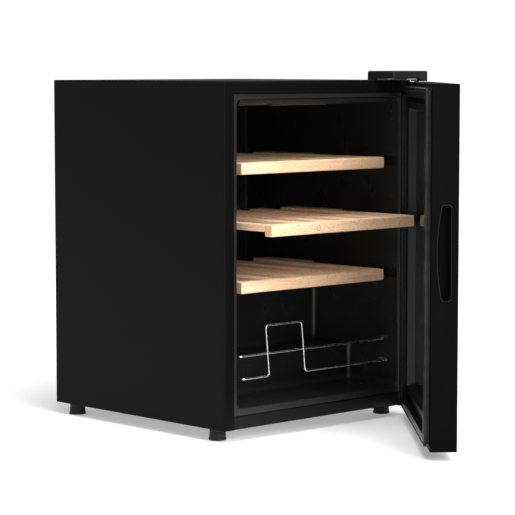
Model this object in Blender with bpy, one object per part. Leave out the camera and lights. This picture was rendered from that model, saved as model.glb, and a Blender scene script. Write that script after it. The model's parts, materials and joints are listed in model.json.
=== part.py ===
"""Compressor wine cooler with a hinged glass door, pull-out wooden shelves and a bottle guard.

Cabinet coordinates: X to the right, Y to the back with the cabinet's front plane at 0, Z up from the
floor. Everything is modelled with the door closed and the shelves home, then posed by parent empties:
the door stands open and the middle shelf is pulled out.
"""
import math

import bmesh
import bpy
from mathutils import Matrix, Vector

MM = 0.001

# ---- cabinet -------------------------------------------------------------------------------------
WIDTH = 460 * MM
DEPTH = 455 * MM
HEIGHT = 590 * MM
FOOT_HEIGHT = 22 * MM
SHEET = 1.0 * MM
STILE = 22 * MM
SILL_HEIGHT = 23 * MM
SILL_RETURN = 14 * MM
GAP = 0.3 * MM

# ---- liner ---------------------------------------------------------------------------------------
LIP = 8 * MM
LIP_FRONT = 1.5 * MM
LIP_THICK = 2.0 * MM
LINER_WALL = 2.0 * MM
FLOOR_RISE = 12 * MM
BACK_SPACE = 53 * MM
CORNER_RADIUS = 12 * MM
FIRST_STEP_DEEP = 90 * MM
FIRST_STEP_RISE = 66 * MM
HUMP_AHEAD = 39 * MM
HUMP_ABOVE_ROOM = 31 * MM
GROOVE_DEPTH = 9 * MM
GROOVE_HEIGHT = 17 * MM
GROOVE_FRONT = 6 * MM
GROOVE_SHORT = 50 * MM
GROOVE_END_RADIUS = 5 * MM

# ---- machine room --------------------------------------------------------------------------------
ROOM_DEEP = 201 * MM
ROOM_ABOVE_COMPRESSOR = 42 * MM
BACK_INSET = 2.5 * MM
DECK_THICK = 2.0 * MM
COMPRESSOR_RADIUS = 56 * MM
COMPRESSOR_HEIGHT = 128 * MM
COMPRESSOR_LIFT = 14 * MM
COMPRESSOR_FROM_SIDE = 134 * MM
COMPRESSOR_FROM_BACK = 103 * MM
RISER_RADIUS = 3.0 * MM
COIL_ROWS = 6
COIL_PITCH = 22 * MM
COIL_TUBE = 2.4 * MM
COIL_FROM_SIDE = 30 * MM
COIL_LENGTH = 138 * MM
COIL_FROM_BACK = 31 * MM
CONDENSER_FAN_FROM_SIDE = 100 * MM
CONDENSER_FAN_FROM_BACK = 75 * MM
CONDENSER_FAN_RISE = 88 * MM
BOARD_FROM_SIDE = 8 * MM
FAN_BLADES = 7

# ---- cold side -----------------------------------------------------------------------------------
DUCT_SPACE = 36 * MM
DUCT_PANEL_INSET = 35 * MM
DUCT_FAN_DROP = 90 * MM
EVAPORATOR_INSET = 60 * MM
EVAPORATOR_SPACE = 9 * MM
DRAIN_RADIUS = 6.0 * MM

# ---- door ----------------------------------------------------------------------------------------
HINGE_INSET = 14 * MM
HINGE_AHEAD = 27.2 * MM
DOOR_GAP = 10 * MM
DOOR_THICK = 44.5 * MM
DOOR_BELOW = 6.2 * MM
DOOR_TOP_GAP = 3.0 * MM
DOOR_BORDER = 51 * MM
GLASS_RIM = 1.5 * MM
FRONT_GLASS = 4.0 * MM
INNER_GLASS = 3.0 * MM
INNER_GLASS_DEEP = 15 * MM
INNER_FRAME_WIDTH = 16 * MM
INNER_FRAME_SLOPE = 6 * MM
SPACER_WIDTH = 10 * MM
GASKET_MARGIN = 7 * MM
GASKET_HINGE_MARGIN = 12 * MM
GASKET_WIDTH = 18 * MM
GASKET_GROOVE = 3 * MM
NOTCH_WIDTH = 52 * MM
NOTCH_RISE = 7.7 * MM
GRIP_DEEP = 20 * MM
GRIP_WALL = 1.5 * MM
GRIP_BOTTOM = 237.5 * MM
GRIP_TOP = 395 * MM
GRIP_NEAR = 8.5 * MM
GRIP_FAR = 34 * MM
GRIP_BOW = 7 * MM
GRIP_BOW_STEPS = 10
GRIP_RADIUS = 5 * MM

# ---- hinges --------------------------------------------------------------------------------------
PIN_RADIUS = 4.0 * MM
PIN_PLAY = 0.08 * MM
BUSH_RADIUS = 7.0 * MM
BUSH_LENGTH = 14 * MM
PIN_LENGTH = 12 * MM
TOP_PLATE_THICK = 2.5 * MM
BOTTOM_PLATE_THICK = 3.0 * MM
PLATE_NOSE = 11.5 * MM
NOSE_WIDTH = 38 * MM
COVER_LEFT = 92 * MM
COVER_FRONT = 43 * MM
COVER_BACK = 22 * MM
COVER_HEIGHT = 13.5 * MM
COVER_WALL = 2.0 * MM
COVER_RADIUS = 4.0 * MM
COVER_ABOVE_DOOR = 0.8 * MM
BOSS_WIDTH = 23 * MM
SCREW_RADIUS = 2.2 * MM
SCREW_HEAD = 4.2 * MM
SCREW_HEAD_HEIGHT = 2.4 * MM

# ---- shelves -------------------------------------------------------------------------------------
SHELF_SIDE_GAP = 23 * MM
SHELF_ABOVE_ROOM = 62.6 * MM
SHELF_PITCH = 101.5 * MM
SHELF_FRONT = 14 * MM
SHELF_BACK_GAP = 12 * MM
BAR_THICK = 18 * MM
BAR_HEIGHT = 20 * MM
RAIL_WIDTH = 18 * MM
RAIL_HEIGHT = 12 * MM
SLATS = 4
SLAT_WIDTH = 30 * MM
SLAT_HEIGHT = 9 * MM
GUIDE_LENGTH = 118 * MM
GUIDE_PLAY = 0.5 * MM
GUIDE_DROP = 2 * MM
FIT = 0.4 * MM

# ---- bottle guard --------------------------------------------------------------------------------
GUARD_WIRE = 1.7 * MM
GUARD_FRONT = 6.5 * MM
GUARD_SIDE_GAP = 19 * MM
GUARD_LOW = 83.5 * MM
GUARD_HIGH = 121.5 * MM
GUARD_LOOP_TOP = 170 * MM
GUARD_LOOP_FROM_SIDE = 81 * MM
GUARD_LOOP_WIDTH = 87 * MM
GUARD_LEAN = 9 * MM
GUARD_RETURN = 26 * MM
SOCKET_RADIUS = 2.4 * MM

# ---- feet ----------------------------------------------------------------------------------------
FOOT_RADIUS = 15.5 * MM
FOOT_TOP_RADIUS = 13.5 * MM
FOOT_INSET_X = 25 * MM
FOOT_INSET_FRONT = 45 * MM
FOOT_INSET_REAR = 30 * MM
STUD_RADIUS = 4.0 * MM
STUD_LENGTH = 9 * MM

# ---- rest pose -----------------------------------------------------------------------------------
DOOR_OPEN = math.radians(47.5)
MIDDLE_SHELF_OUT = 74 * MM

BASE = FOOT_HEIGHT
TOP = BASE + HEIGHT
HALF = WIDTH / 2
CAVITY_HALF = HALF - STILE - LIP
FLOOR = BASE + SILL_HEIGHT + FLOOR_RISE
CEILING = TOP - STILE - LIP
ROOM_HEIGHT = DECK_THICK + COMPRESSOR_LIFT + COMPRESSOR_HEIGHT + ROOM_ABOVE_COMPRESSOR
ROOM_TOP = BASE + ROOM_HEIGHT
ROOM_FRONT = DEPTH - ROOM_DEEP
CAVITY_DEPTH = DEPTH - BACK_SPACE
HUMP_Y = ROOM_FRONT - HUMP_AHEAD
HUMP_RISE = ROOM_TOP + HUMP_ABOVE_ROOM - FLOOR
FIRST_STEP_Y = HUMP_Y - FIRST_STEP_DEEP
GROOVE_BACK = CAVITY_DEPTH - GROOVE_SHORT
COMPRESSOR_X = -HALF + COMPRESSOR_FROM_SIDE
COMPRESSOR_Y = DEPTH - COMPRESSOR_FROM_BACK
COIL_RIGHT = HALF - COIL_FROM_SIDE
COIL_LEFT = COIL_RIGHT - COIL_LENGTH
COIL_Y = DEPTH - COIL_FROM_BACK
DUCT_Y = CAVITY_DEPTH - DUCT_SPACE
DUCT_FAN_Z = CEILING - DUCT_FAN_DROP
SHELF_WIDTH = 2 * (CAVITY_HALF - SHELF_SIDE_GAP)
SHELF_TOP = ROOM_HEIGHT + SHELF_ABOVE_ROOM
SHELF_LENGTH = GROOVE_BACK - SHELF_BACK_GAP - SHELF_FRONT
GUARD_HALF = CAVITY_HALF - GUARD_SIDE_GAP
GUARD_LOOP_LEFT = -CAVITY_HALF + GUARD_LOOP_FROM_SIDE
GUARD_LOOP_RIGHT = GUARD_LOOP_LEFT + GUARD_LOOP_WIDTH
REAR = DEPTH - BACK_INSET
HINGE_X = HALF - HINGE_INSET
HINGE_Y = -HINGE_AHEAD
DOOR_BACK = -DOOR_GAP
DOOR_FRONT = DOOR_BACK - DOOR_THICK
DOOR_LOW = BASE - DOOR_BELOW
DOOR_HIGH = TOP - DOOR_TOP_GAP
INNER_PANE_BACK = DOOR_BACK - INNER_GLASS_DEEP


# ---- scene, materials and placing ----------------------------------------------------------------
def clear_scene():
    for obj in list(bpy.data.objects):
        bpy.data.objects.remove(obj, do_unlink=True)


def new_collection(name):
    collection = bpy.data.collections.new(name)
    bpy.context.scene.collection.children.link(collection)
    return collection


def material(name, color, roughness, metallic=0.0, alpha=1.0):
    mat = bpy.data.materials.new(name)
    mat.use_nodes = True
    shader = mat.node_tree.nodes["Principled BSDF"]
    shader.inputs["Base Color"].default_value = (*color, 1.0)
    shader.inputs["Roughness"].default_value = roughness
    shader.inputs["Metallic"].default_value = metallic
    shader.inputs["Alpha"].default_value = alpha
    return mat


clear_scene()
PARTS = new_collection("wine_cooler")
CUTTERS = new_collection("cutters")

BLACK_STEEL = material("black_painted_steel", (0.012, 0.012, 0.012), 0.45, 0.3)
GALVANISED = material("galvanised_steel", (0.42, 0.43, 0.44), 0.4, 0.9)
BLACK_PLASTIC = material("black_plastic", (0.011, 0.011, 0.011), 0.5)
LINER_PLASTIC = material("liner_plastic", (0.035, 0.033, 0.032), 0.42)
GREY_RUBBER = material("gasket_rubber", (0.05, 0.047, 0.045), 0.6)
FOOT_RUBBER = material("foot_rubber", (0.02, 0.02, 0.02), 0.7)
DARK_GLASS = material("dark_glass", (0.01, 0.01, 0.01), 0.04, 0.0, 0.5)
BEECH = material("beech", (0.78, 0.55, 0.34), 0.5)
CHROME = material("chromed_wire", (0.75, 0.75, 0.75), 0.12, 1.0)
FOAM = material("insulation_foam", (0.72, 0.62, 0.38), 0.9)
COPPER = material("copper", (0.72, 0.38, 0.22), 0.35, 1.0)
ALUMINIUM = material("aluminium", (0.75, 0.75, 0.76), 0.35, 1.0)
LIGHT_PLASTIC = material("clear_plastic", (0.85, 0.87, 0.9), 0.3, 0.0, 0.6)
BRIGHT_STEEL = material("zinc_steel", (0.7, 0.7, 0.68), 0.3, 1.0)


def place(obj, parent):
    """Parent an object modelled in cabinet coordinates to an empty, keeping it where it is."""
    obj.parent = parent
    obj.location = Vector(obj.location) - Vector(parent["at"])


def empty(name, at, parent=None):
    obj = bpy.data.objects.new(name, None)
    obj["at"] = at
    PARTS.objects.link(obj)
    obj.location = at
    if parent is not None:
        place(obj, parent)
    return obj


def add_mesh(name, bm, mat=None, smooth=False):
    mesh = bpy.data.meshes.new(name)
    bmesh.ops.recalc_face_normals(bm, faces=bm.faces)
    bm.to_mesh(mesh)
    bm.free()
    if smooth:
        mesh.shade_smooth()
        mesh.set_sharp_from_angle(angle=math.radians(35))
    obj = bpy.data.objects.new(name, mesh)
    if mat is None:
        CUTTERS.objects.link(obj)
        obj.hide_render = True
        obj.display_type = "WIRE"
    else:
        PARTS.objects.link(obj)
        mesh.materials.append(mat)
    return obj


# ---- shapes --------------------------------------------------------------------------------------
def box_bm(bm, lo, hi):
    size = Vector(hi) - Vector(lo)
    middle = (Vector(hi) + Vector(lo)) / 2
    matrix = Matrix.Translation(middle) @ Matrix.Diagonal((*size, 1.0))
    return bmesh.ops.create_cube(bm, size=1.0, matrix=matrix)["verts"]


def box(name, lo, hi, mat=None, bevel=0.0, segments=2):
    bm = bmesh.new()
    box_bm(bm, lo, hi)
    if bevel:
        bmesh.ops.bevel(bm, geom=bm.edges[:], offset=bevel, segments=segments, profile=0.5, affect="EDGES",
                        material=-1)
    return add_mesh(name, bm, mat)


def boxes(name, spans):
    """Several separate boxes in one cutter or one joining piece."""
    bm = bmesh.new()
    for lo, hi in spans:
        box_bm(bm, lo, hi)
    return add_mesh(name, bm)


def axis_matrix(axis):
    return {"X": Matrix.Rotation(math.pi / 2, 4, "Y"), "Y": Matrix.Rotation(-math.pi / 2, 4, "X"),
            "Z": Matrix.Identity(4)}[axis]


def cylinder_bm(bm, radius, start, length, axis="Z", sides=16, end_radius=None):
    """A cylinder from start along the axis; end_radius is the radius at its far end."""
    far = radius if end_radius is None else end_radius
    matrix = Matrix.Translation(start) @ axis_matrix(axis) @ Matrix.Translation((0, 0, length / 2))
    bmesh.ops.create_cone(bm, cap_ends=True, segments=sides, radius1=radius, radius2=far, depth=length,
                          matrix=matrix)


def cylinder(name, radius, start, length, axis="Z", mat=None, sides=16, end_radius=None):
    bm = bmesh.new()
    cylinder_bm(bm, radius, start, length, axis, sides, end_radius)
    return add_mesh(name, bm, mat, smooth=True)


def cylinders(name, items, sides=16):
    """Several separate cylinders in one cutter; an item is (radius, start, length, axis)."""
    bm = bmesh.new()
    for radius, start, length, axis in items:
        cylinder_bm(bm, radius, start, length, axis, sides)
    return add_mesh(name, bm)


def to_mesh(obj, mat=None, twist=0.0):
    """Turn a curve object into a welded mesh object of the same name."""
    name = obj.name
    graph = bpy.context.evaluated_depsgraph_get()
    mesh = bpy.data.meshes.new_from_object(obj.evaluated_get(graph))
    world = obj.matrix_world.copy()
    bpy.data.objects.remove(obj, do_unlink=True)
    bm = bmesh.new()
    bm.from_mesh(mesh)
    bpy.data.meshes.remove(mesh)
    bmesh.ops.remove_doubles(bm, verts=bm.verts, dist=1e-6)
    if twist:
        for vert in bm.verts:
            angle = twist if vert.co.z > 0 else -twist
            vert.co = Matrix.Rotation(angle, 3, "Z") @ vert.co
    bmesh.ops.transform(bm, matrix=world, verts=bm.verts)
    return add_mesh(name, bm, mat)


def outline_curve(name, loops, thickness):
    curve = bpy.data.curves.new(name, "CURVE")
    curve.dimensions = "2D"
    curve.fill_mode = "BOTH"
    curve.extrude = thickness / 2
    for points in loops:
        spline = curve.splines.new("POLY")
        spline.points.add(len(points) - 1)
        for point, (u, v) in zip(spline.points, points):
            point.co = (u, v, 0.0, 1.0)
        spline.use_cyclic_u = True
    obj = bpy.data.objects.new(name, curve)
    PARTS.objects.link(obj)
    return obj


# The plane that an outline's two coordinates lie in, and the axis that it is thick along.
OUTLINE_PLANES = {
    "X": Matrix(((0, 0, 1, 0), (1, 0, 0, 0), (0, 1, 0, 0), (0, 0, 0, 1))),
    "Y": Matrix(((1, 0, 0, 0), (0, 0, -1, 0), (0, 1, 0, 0), (0, 0, 0, 1))),
    "Z": Matrix.Identity(4),
}


def prism(name, loops, lo, hi, axis="Z", mat=None):
    """Flat outlines (outer loop, then holes) given a thickness from lo to hi along an axis."""
    obj = outline_curve(name, loops, hi - lo)
    middle = Vector([(hi + lo) / 2 if letter == axis else 0.0 for letter in "XYZ"])
    obj.matrix_world = Matrix.Translation(middle) @ OUTLINE_PLANES[axis]
    bpy.context.view_layer.update()
    return to_mesh(obj, mat)


def tube(name, points, radius, mat):
    curve = bpy.data.curves.new(name, "CURVE")
    curve.dimensions = "3D"
    curve.bevel_depth = radius
    curve.bevel_resolution = 2
    curve.use_fill_caps = True
    spline = curve.splines.new("POLY")
    spline.points.add(len(points) - 1)
    for point, place_at in zip(spline.points, points):
        point.co = (*place_at, 1.0)
    obj = bpy.data.objects.new(name, curve)
    PARTS.objects.link(obj)
    curve.materials.append(mat)
    return obj


def rounded_path(points, radius, steps=3):
    """A wire's route: straight runs between the points, with a short arc at each inner one."""
    route = [Vector(points[0])]
    for before, corner, after in zip(points, points[1:], points[2:]):
        corner = Vector(corner)
        back = (Vector(before) - corner)
        ahead = (Vector(after) - corner)
        reach = min(radius, back.length * 0.49, ahead.length * 0.49)
        start = corner + back.normalized() * reach
        end = corner + ahead.normalized() * reach
        for step in range(steps + 1):
            share = step / steps
            route.append(start.lerp(corner, share).lerp(corner.lerp(end, share), share))
    route.append(Vector(points[-1]))
    return route


def arc(cx, cy, radius, start, end, steps):
    """Points on an arc, from the angle start to end in degrees."""
    angles = [math.radians(start + (end - start) * i / steps) for i in range(steps + 1)]
    return [(cx + radius * math.cos(a), cy + radius * math.sin(a)) for a in angles]


def rounded_rectangle(x0, y0, x1, y1, radius, steps=4):
    return (arc(x1 - radius, y1 - radius, radius, 0, 90, steps)
            + arc(x0 + radius, y1 - radius, radius, 90, 180, steps)
            + arc(x0 + radius, y0 + radius, radius, 180, 270, steps)
            + arc(x1 - radius, y0 + radius, radius, 270, 360, steps))


def boolean(target, other, operation):
    modifier = target.modifiers.new(operation.lower(), "BOOLEAN")
    modifier.operation = operation
    modifier.solver = "EXACT"
    modifier.object = other
    return other


def cut(target, other):
    return boolean(target, other, "DIFFERENCE")


def join(target, other):
    return boolean(target, other, "UNION")


def ring(name, outer, inner, lo, hi, mat, corner=0.0):
    """A flat rectangular ring in the XZ plane; outer and inner are (x0, z0, x1, z1)."""
    loops = []
    for x0, z0, x1, z1 in (outer, inner):
        if corner:
            loops.append(rounded_rectangle(x0, z0, x1, z1, corner, 3))
        else:
            loops.append([(x0, z0), (x1, z0), (x1, z1), (x0, z1)])
    return prism(name, loops, lo, hi, "Y", mat)


# ---- liner solids, shared by the liner, its hollow and the foam ----------------------------------
def cavity_solid(name, offset, front, mat=None):
    """The cabinet's hollow grown by offset, from front to the back wall, with rounded corners."""
    half = CAVITY_HALF + offset
    low = FLOOR - offset
    first = FLOOR + FIRST_STEP_RISE - offset
    hump = FLOOR + HUMP_RISE - offset
    back = CAVITY_DEPTH + offset
    high = CEILING + offset
    profile = [(front, low), (FIRST_STEP_Y + offset, low), (FIRST_STEP_Y + offset, first),
               (HUMP_Y + offset, first), (HUMP_Y + offset, hump), (back, hump), (back, high), (front, high)]
    obj = prism(name, [profile], -half, half, "X", mat)
    bm = bmesh.new()
    bm.from_mesh(obj.data)
    bmesh.ops.dissolve_limit(bm, angle_limit=math.radians(1), verts=bm.verts, edges=bm.edges)
    rounded = [edge for edge in bm.edges if any(vert.co.y > front + 1e-5 for vert in edge.verts)]
    bmesh.ops.bevel(bm, geom=rounded, offset=CORNER_RADIUS, segments=5, profile=0.5, affect="EDGES",
                    material=-1, clamp_overlap=True)
    bmesh.ops.recalc_face_normals(bm, faces=bm.faces)
    bm.to_mesh(obj.data)
    bm.free()
    return obj


def shelf_height(index):
    """Top of the wooden shelf, counted from the lowest one."""
    return BASE + SHELF_TOP + index * SHELF_PITCH


def groove_middle(index):
    return shelf_height(index) - RAIL_HEIGHT / 2 - GUIDE_DROP


def groove_solid(name, offset):
    """The six runner grooves, three on each side wall, grown by offset, in one object."""
    bm = bmesh.new()
    inner = CAVITY_HALF - 4 * MM
    outer = CAVITY_HALF + GROOVE_DEPTH + offset
    for index in range(3):
        middle = groove_middle(index)
        low = middle - GROOVE_HEIGHT / 2 - offset
        high = middle + GROOVE_HEIGHT / 2 + offset
        for side in (-1, 1):
            piece = bmesh.new()
            x0, x1 = sorted((side * inner, side * outer))
            box_bm(piece, (x0, GROOVE_FRONT - offset, low), (x1, GROOVE_BACK + offset, high))
            ends = [edge for edge in piece.edges
                    if all(vert.co.y < GROOVE_FRONT for vert in edge.verts)
                    and abs(edge.verts[0].co.x - edge.verts[1].co.x) > MM]
            if offset == 0.0:
                bmesh.ops.bevel(piece, geom=ends, offset=GROOVE_END_RADIUS, segments=3, profile=0.5,
                                affect="EDGES", material=-1)
            mesh = bpy.data.meshes.new("groove_piece")
            piece.to_mesh(mesh)
            piece.free()
            bm.from_mesh(mesh)
            bpy.data.meshes.remove(mesh)
    return add_mesh(name, bm)


# ---- cabinet -------------------------------------------------------------------------------------
def cabinet_wrap(root):
    """One folded sheet: both sides, the top, and the front stiles and top rail."""
    wrap = box("cabinet_wrap", (-HALF, 0, BASE), (HALF, DEPTH, TOP), BLACK_STEEL)
    inside = box("wrap_inside", (-HALF + SHEET, SHEET, BASE - SHEET),
                 (HALF - SHEET, DEPTH + SHEET, TOP - SHEET))
    mouth = box("wrap_mouth", (-HALF + STILE, -SHEET, BASE - SHEET), (HALF - STILE, 2 * SHEET, TOP - STILE))
    screws = cylinders("wrap_screw_holes", [(SCREW_RADIUS + FIT, (x, y, TOP - 3 * SHEET), 5 * SHEET, "Z")
                                            for x, y in top_screw_places()], 12)
    for cutter in (inside, mouth, screws):
        place(cut(wrap, cutter), root)
    place(wrap, root)


def front_sill(root):
    """Lower front rail between the stiles, folded back under the cabinet."""
    half = HALF - STILE - GAP
    profile = [(0, BASE), (SILL_RETURN, BASE), (SILL_RETURN, BASE + SHEET), (SHEET, BASE + SHEET),
               (SHEET, BASE + SILL_HEIGHT - GAP), (0, BASE + SILL_HEIGHT - GAP)]
    place(prism("front_sill", [profile], -half, half, "X", BLACK_STEEL), root)


def foot_places():
    rear = DEPTH - FOOT_INSET_REAR
    x = HALF - FOOT_INSET_X
    return {"foot_front_left": (-x, FOOT_INSET_FRONT), "foot_front_right": (x, FOOT_INSET_FRONT),
            "foot_rear_left": (-x, rear), "foot_rear_right": (x, rear)}


def base_pan(root):
    """Bottom sheet from the sill to the machine room, with holes for the front studs and hinge screws."""
    half = HALF - SHEET - GAP
    pan = box("base_pan", (-half, SILL_RETURN + GAP, BASE), (half, ROOM_FRONT, BASE + SHEET), GALVANISED)
    holes = [(STUD_RADIUS + FIT, (x, y, BASE - SHEET), 4 * SHEET, "Z")
             for x, y in foot_places().values() if y < ROOM_FRONT]
    holes += [(SCREW_RADIUS + FIT, (x, y, BASE - SHEET), 4 * SHEET, "Z") for x, y in bottom_screw_places()]
    place(cut(pan, cylinders("pan_holes", holes)), root)
    place(pan, root)


def riser_places():
    """The suction pipe and the drain tube pass through the machine room's roof."""
    return {"suction": (COMPRESSOR_X + 56 * MM, COMPRESSOR_Y + 34 * MM),
            "drain": (COMPRESSOR_X - 32 * MM, COMPRESSOR_Y + 32 * MM)}


def inner_liner(root):
    """Moulded tub: stepped floor over the machine room, runner grooves, and the lip at the front."""
    front = LIP_FRONT + LIP_THICK / 2
    liner = cavity_solid("inner_liner", LINER_WALL, front, LINER_PLASTIC)
    outer = (-CAVITY_HALF - LIP + GAP, BASE + SILL_HEIGHT, CAVITY_HALF + LIP - GAP, CEILING + LIP - GAP)
    inner = (-CAVITY_HALF + 2 * MM, FLOOR + 2 * MM, CAVITY_HALF - 2 * MM, CEILING - 2 * MM)
    lip = ring("liner_lip", outer, inner, LIP_FRONT, LIP_FRONT + LIP_THICK, None)
    place(join(liner, lip), root)
    place(join(liner, groove_solid("liner_grooves_outer", LINER_WALL)), root)
    place(cut(liner, cavity_solid("liner_hollow", 0.0, -20 * MM)), root)
    place(cut(liner, groove_solid("liner_grooves_inner", 0.0)), root)
    risers = riser_places()
    bottom = FLOOR + HUMP_RISE - 3 * LINER_WALL
    holes = [(RISER_RADIUS + FIT, (*risers["suction"], bottom), 6 * LINER_WALL, "Z"),
             (4 * MM, (*risers["drain"], bottom), 6 * LINER_WALL, "Z")]
    start = CAVITY_HALF - 2 * MM
    for z in (GUARD_LOW, GUARD_HIGH):
        holes.append((SOCKET_RADIUS, (start, GUARD_FRONT + GUARD_RETURN, BASE + z), 8 * MM, "X"))
        holes.append((SOCKET_RADIUS, (-start - 8 * MM, GUARD_FRONT + GUARD_RETURN, BASE + z), 8 * MM, "X"))
    place(cut(liner, cylinders("liner_holes", holes, 12)), root)
    place(liner, root)


def insulation_foam(root):
    """Foam between the wrap and the liner, with the machine room left free."""
    margin = LINER_WALL + GAP
    half = HALF - SHEET - GAP
    front = LIP_FRONT + LIP_THICK + GAP
    foam = box("insulation_foam", (-half, front, BASE + SHEET + GAP),
               (half, REAR - GAP, TOP - SHEET - GAP), FOAM)
    place(cut(foam, cavity_solid("foam_hollow", margin, -20 * MM)), root)
    place(cut(foam, groove_solid("foam_grooves", margin)), root)
    room = box("foam_machine_room", (-HALF, ROOM_FRONT - GAP, 0), (HALF, DEPTH, ROOM_TOP + GAP))
    place(cut(foam, room), root)
    sill = box("foam_sill", (-HALF, 0, 0), (HALF, SHEET + front, BASE + SILL_HEIGHT))
    place(cut(foam, sill), root)
    holes = [(STUD_RADIUS + 2 * MM, (x, y, BASE), STUD_LENGTH + 3 * MM, "Z")
             for x, y in foot_places().values() if y < ROOM_FRONT]
    holes += [(SCREW_RADIUS + 2 * MM, (x, y, BASE), 6 * MM, "Z") for x, y in bottom_screw_places()]
    holes += [(SCREW_RADIUS + 2 * MM, (x, y, TOP - 8 * MM), 8 * MM, "Z") for x, y in top_screw_places()]
    for place_at, radius in zip(riser_places().values(), (RISER_RADIUS + FIT, DRAIN_RADIUS + FIT)):
        holes.append((radius, (*place_at, ROOM_TOP - 2 * MM), 60 * MM, "Z"))
    for z in (GUARD_LOW, GUARD_HIGH):
        for side in (-1, 1):
            start = side * (CAVITY_HALF + 5 * MM) - 5 * MM
            holes.append((SOCKET_RADIUS + 2 * MM, (start, GUARD_FRONT + GUARD_RETURN, BASE + z),
                          10 * MM, "X"))
    place(cut(foam, cylinders("foam_holes", holes, 12)), root)
    place(foam, root)


def rear_panel(root):
    half = HALF - SHEET - GAP
    place(box("rear_panel", (-half, REAR, ROOM_TOP + GAP), (half, REAR + SHEET, TOP - SHEET - GAP),
              GALVANISED), root)


def machine_room_cover(root):
    """Screwed sheet over the machine room, with rows of vent slots and an opening for the inlet."""
    half = HALF - SHEET - GAP
    cover = box("machine_room_cover", (-half, REAR, BASE + DECK_THICK + GAP), (half, REAR + SHEET, ROOM_TOP),
                BLACK_STEEL)
    spans = []
    slot_height = 5 * MM
    for row in range(9):
        z = BASE + 28 * MM + row * 15 * MM
        for x in (-150 * MM, -60 * MM, 120 * MM):
            spans.append(((x - 36 * MM, REAR - 4 * MM, z), (x + 36 * MM, REAR + 4 * MM, z + slot_height)))
    inlet_x, inlet_z = inlet_place()
    spans.append(((inlet_x - 14 * MM, REAR - 4 * MM, inlet_z - 10 * MM),
                  (inlet_x + 14 * MM, REAR + 4 * MM, inlet_z + 10 * MM)))
    place(cut(cover, boxes("cover_slots", spans)), root)
    place(cover, root)


def feet(root):
    """Tapered rubber feet; the two in front are on threaded studs and turn to level the cooler."""
    for name, (x, y) in foot_places().items():
        foot = cylinder(name, FOOT_RADIUS, (0, 0, 0), FOOT_HEIGHT - GAP, mat=FOOT_RUBBER, sides=24,
                        end_radius=FOOT_TOP_RADIUS)
        if y < ROOM_FRONT:
            stud = cylinder(name + "_stud", STUD_RADIUS, (0, 0, FOOT_HEIGHT / 2),
                            FOOT_HEIGHT / 2 + STUD_LENGTH,
                            sides=16)
            join(foot, stud)
            stud.location = (x, y, 0)
            place(stud, root)
        foot.location = (x, y, 0)
        place(foot, root)


# ---- cold side -----------------------------------------------------------------------------------
def duct_panel(root):
    """Moulded cover in front of the evaporator, with an air inlet grille and the fan's outlet."""
    low = FLOOR + HUMP_RISE + 14 * MM
    high = CEILING - 14 * MM
    half = CAVITY_HALF - DUCT_PANEL_INSET
    panel = box("air_duct_panel", (-half, DUCT_Y, low), (half, DUCT_Y + 2.5 * MM, high), LINER_PLASTIC)
    opening = cylinder("duct_fan_opening", 40 * MM, (0, DUCT_Y - 6 * MM, DUCT_FAN_Z), 12 * MM, "Y", sides=24)
    place(cut(panel, opening), root)
    spans = []
    for column in range(-5, 6):
        x = column * 24 * MM
        spans.append(((x - 3 * MM, DUCT_Y - 6 * MM, low + 14 * MM),
                      (x + 3 * MM, DUCT_Y + 8 * MM, low + 54 * MM)))
    place(cut(panel, boxes("duct_slots", spans)), root)
    place(panel, root)


def evaporator(root):
    low = FLOOR + HUMP_RISE + 24 * MM
    half = CAVITY_HALF - EVAPORATOR_INSET
    y = CAVITY_DEPTH - EVAPORATOR_SPACE
    place(box("evaporator_plate", (-half, y, low), (half, y + 3 * MM, CEILING - 90 * MM), ALUMINIUM), root)


def axial_fan(prefix, centre, radius, frame_half, depth, body, root):
    """A square frame with a motor on three struts, and its rotor, both around an axis along Y."""
    cx, cy, cz = centre
    frame = box(prefix + "_frame", (cx - frame_half, cy, cz - frame_half),
                (cx + frame_half, cy + depth, cz + frame_half),
                BLACK_PLASTIC)
    bore = cylinder(prefix + "_bore", radius + 2 * MM, (cx, cy - depth, cz), 3 * depth, "Y", sides=28)
    place(cut(frame, bore), root)
    motor_radius = radius * 0.36
    strut_low = cy + depth * 0.8
    for number, turn in enumerate((90, 210, 330)):
        angle = math.radians(turn)
        ahead = Vector((math.cos(angle), math.sin(angle)))
        across = Vector((-math.sin(angle), math.cos(angle))) * 3 * MM
        root_end = ahead * motor_radius * 0.5
        tip = ahead * (radius + 4 * MM)
        corners = (root_end - across, tip - across, tip + across, root_end + across)
        outline = [(cx + corner.x, cz + corner.y) for corner in corners]
        strut = prism(f"{prefix}_strut_{number}", [outline], strut_low, cy + depth - 0.4 * MM, "Y")
        place(join(frame, strut), root)
    motor = cylinder(prefix + "_motor", motor_radius, (cx, cy + depth * 0.6, cz),
                     depth * 0.4 - 0.2 * MM, "Y", sides=20)
    place(join(frame, motor), root)
    shaft_hole = cylinder(prefix + "_shaft_hole", 1.6 * MM, (cx, cy + depth * 0.5, cz), depth * 0.35,
                          "Y", sides=12)
    place(cut(frame, shaft_hole), root)
    place(frame, root)
    rotor_loops = [blade_outline(radius, motor_radius)]
    blades = outline_curve(prefix + "_rotor", rotor_loops, depth * 0.4)
    blades = to_mesh(blades, BLACK_PLASTIC, twist=math.radians(9))
    shaft = cylinder(prefix + "_shaft", 1.5 * MM, (0, 0, 0), depth * 0.5, "Z", sides=12)
    join(blades, shaft)
    for piece in (blades, shaft):
        piece.matrix_parent_inverse = Matrix.Identity(4)
        piece.parent = body
        piece.rotation_euler = (-math.pi / 2, 0, 0)
        piece.location = (0, depth * 0.28, 0)


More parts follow.
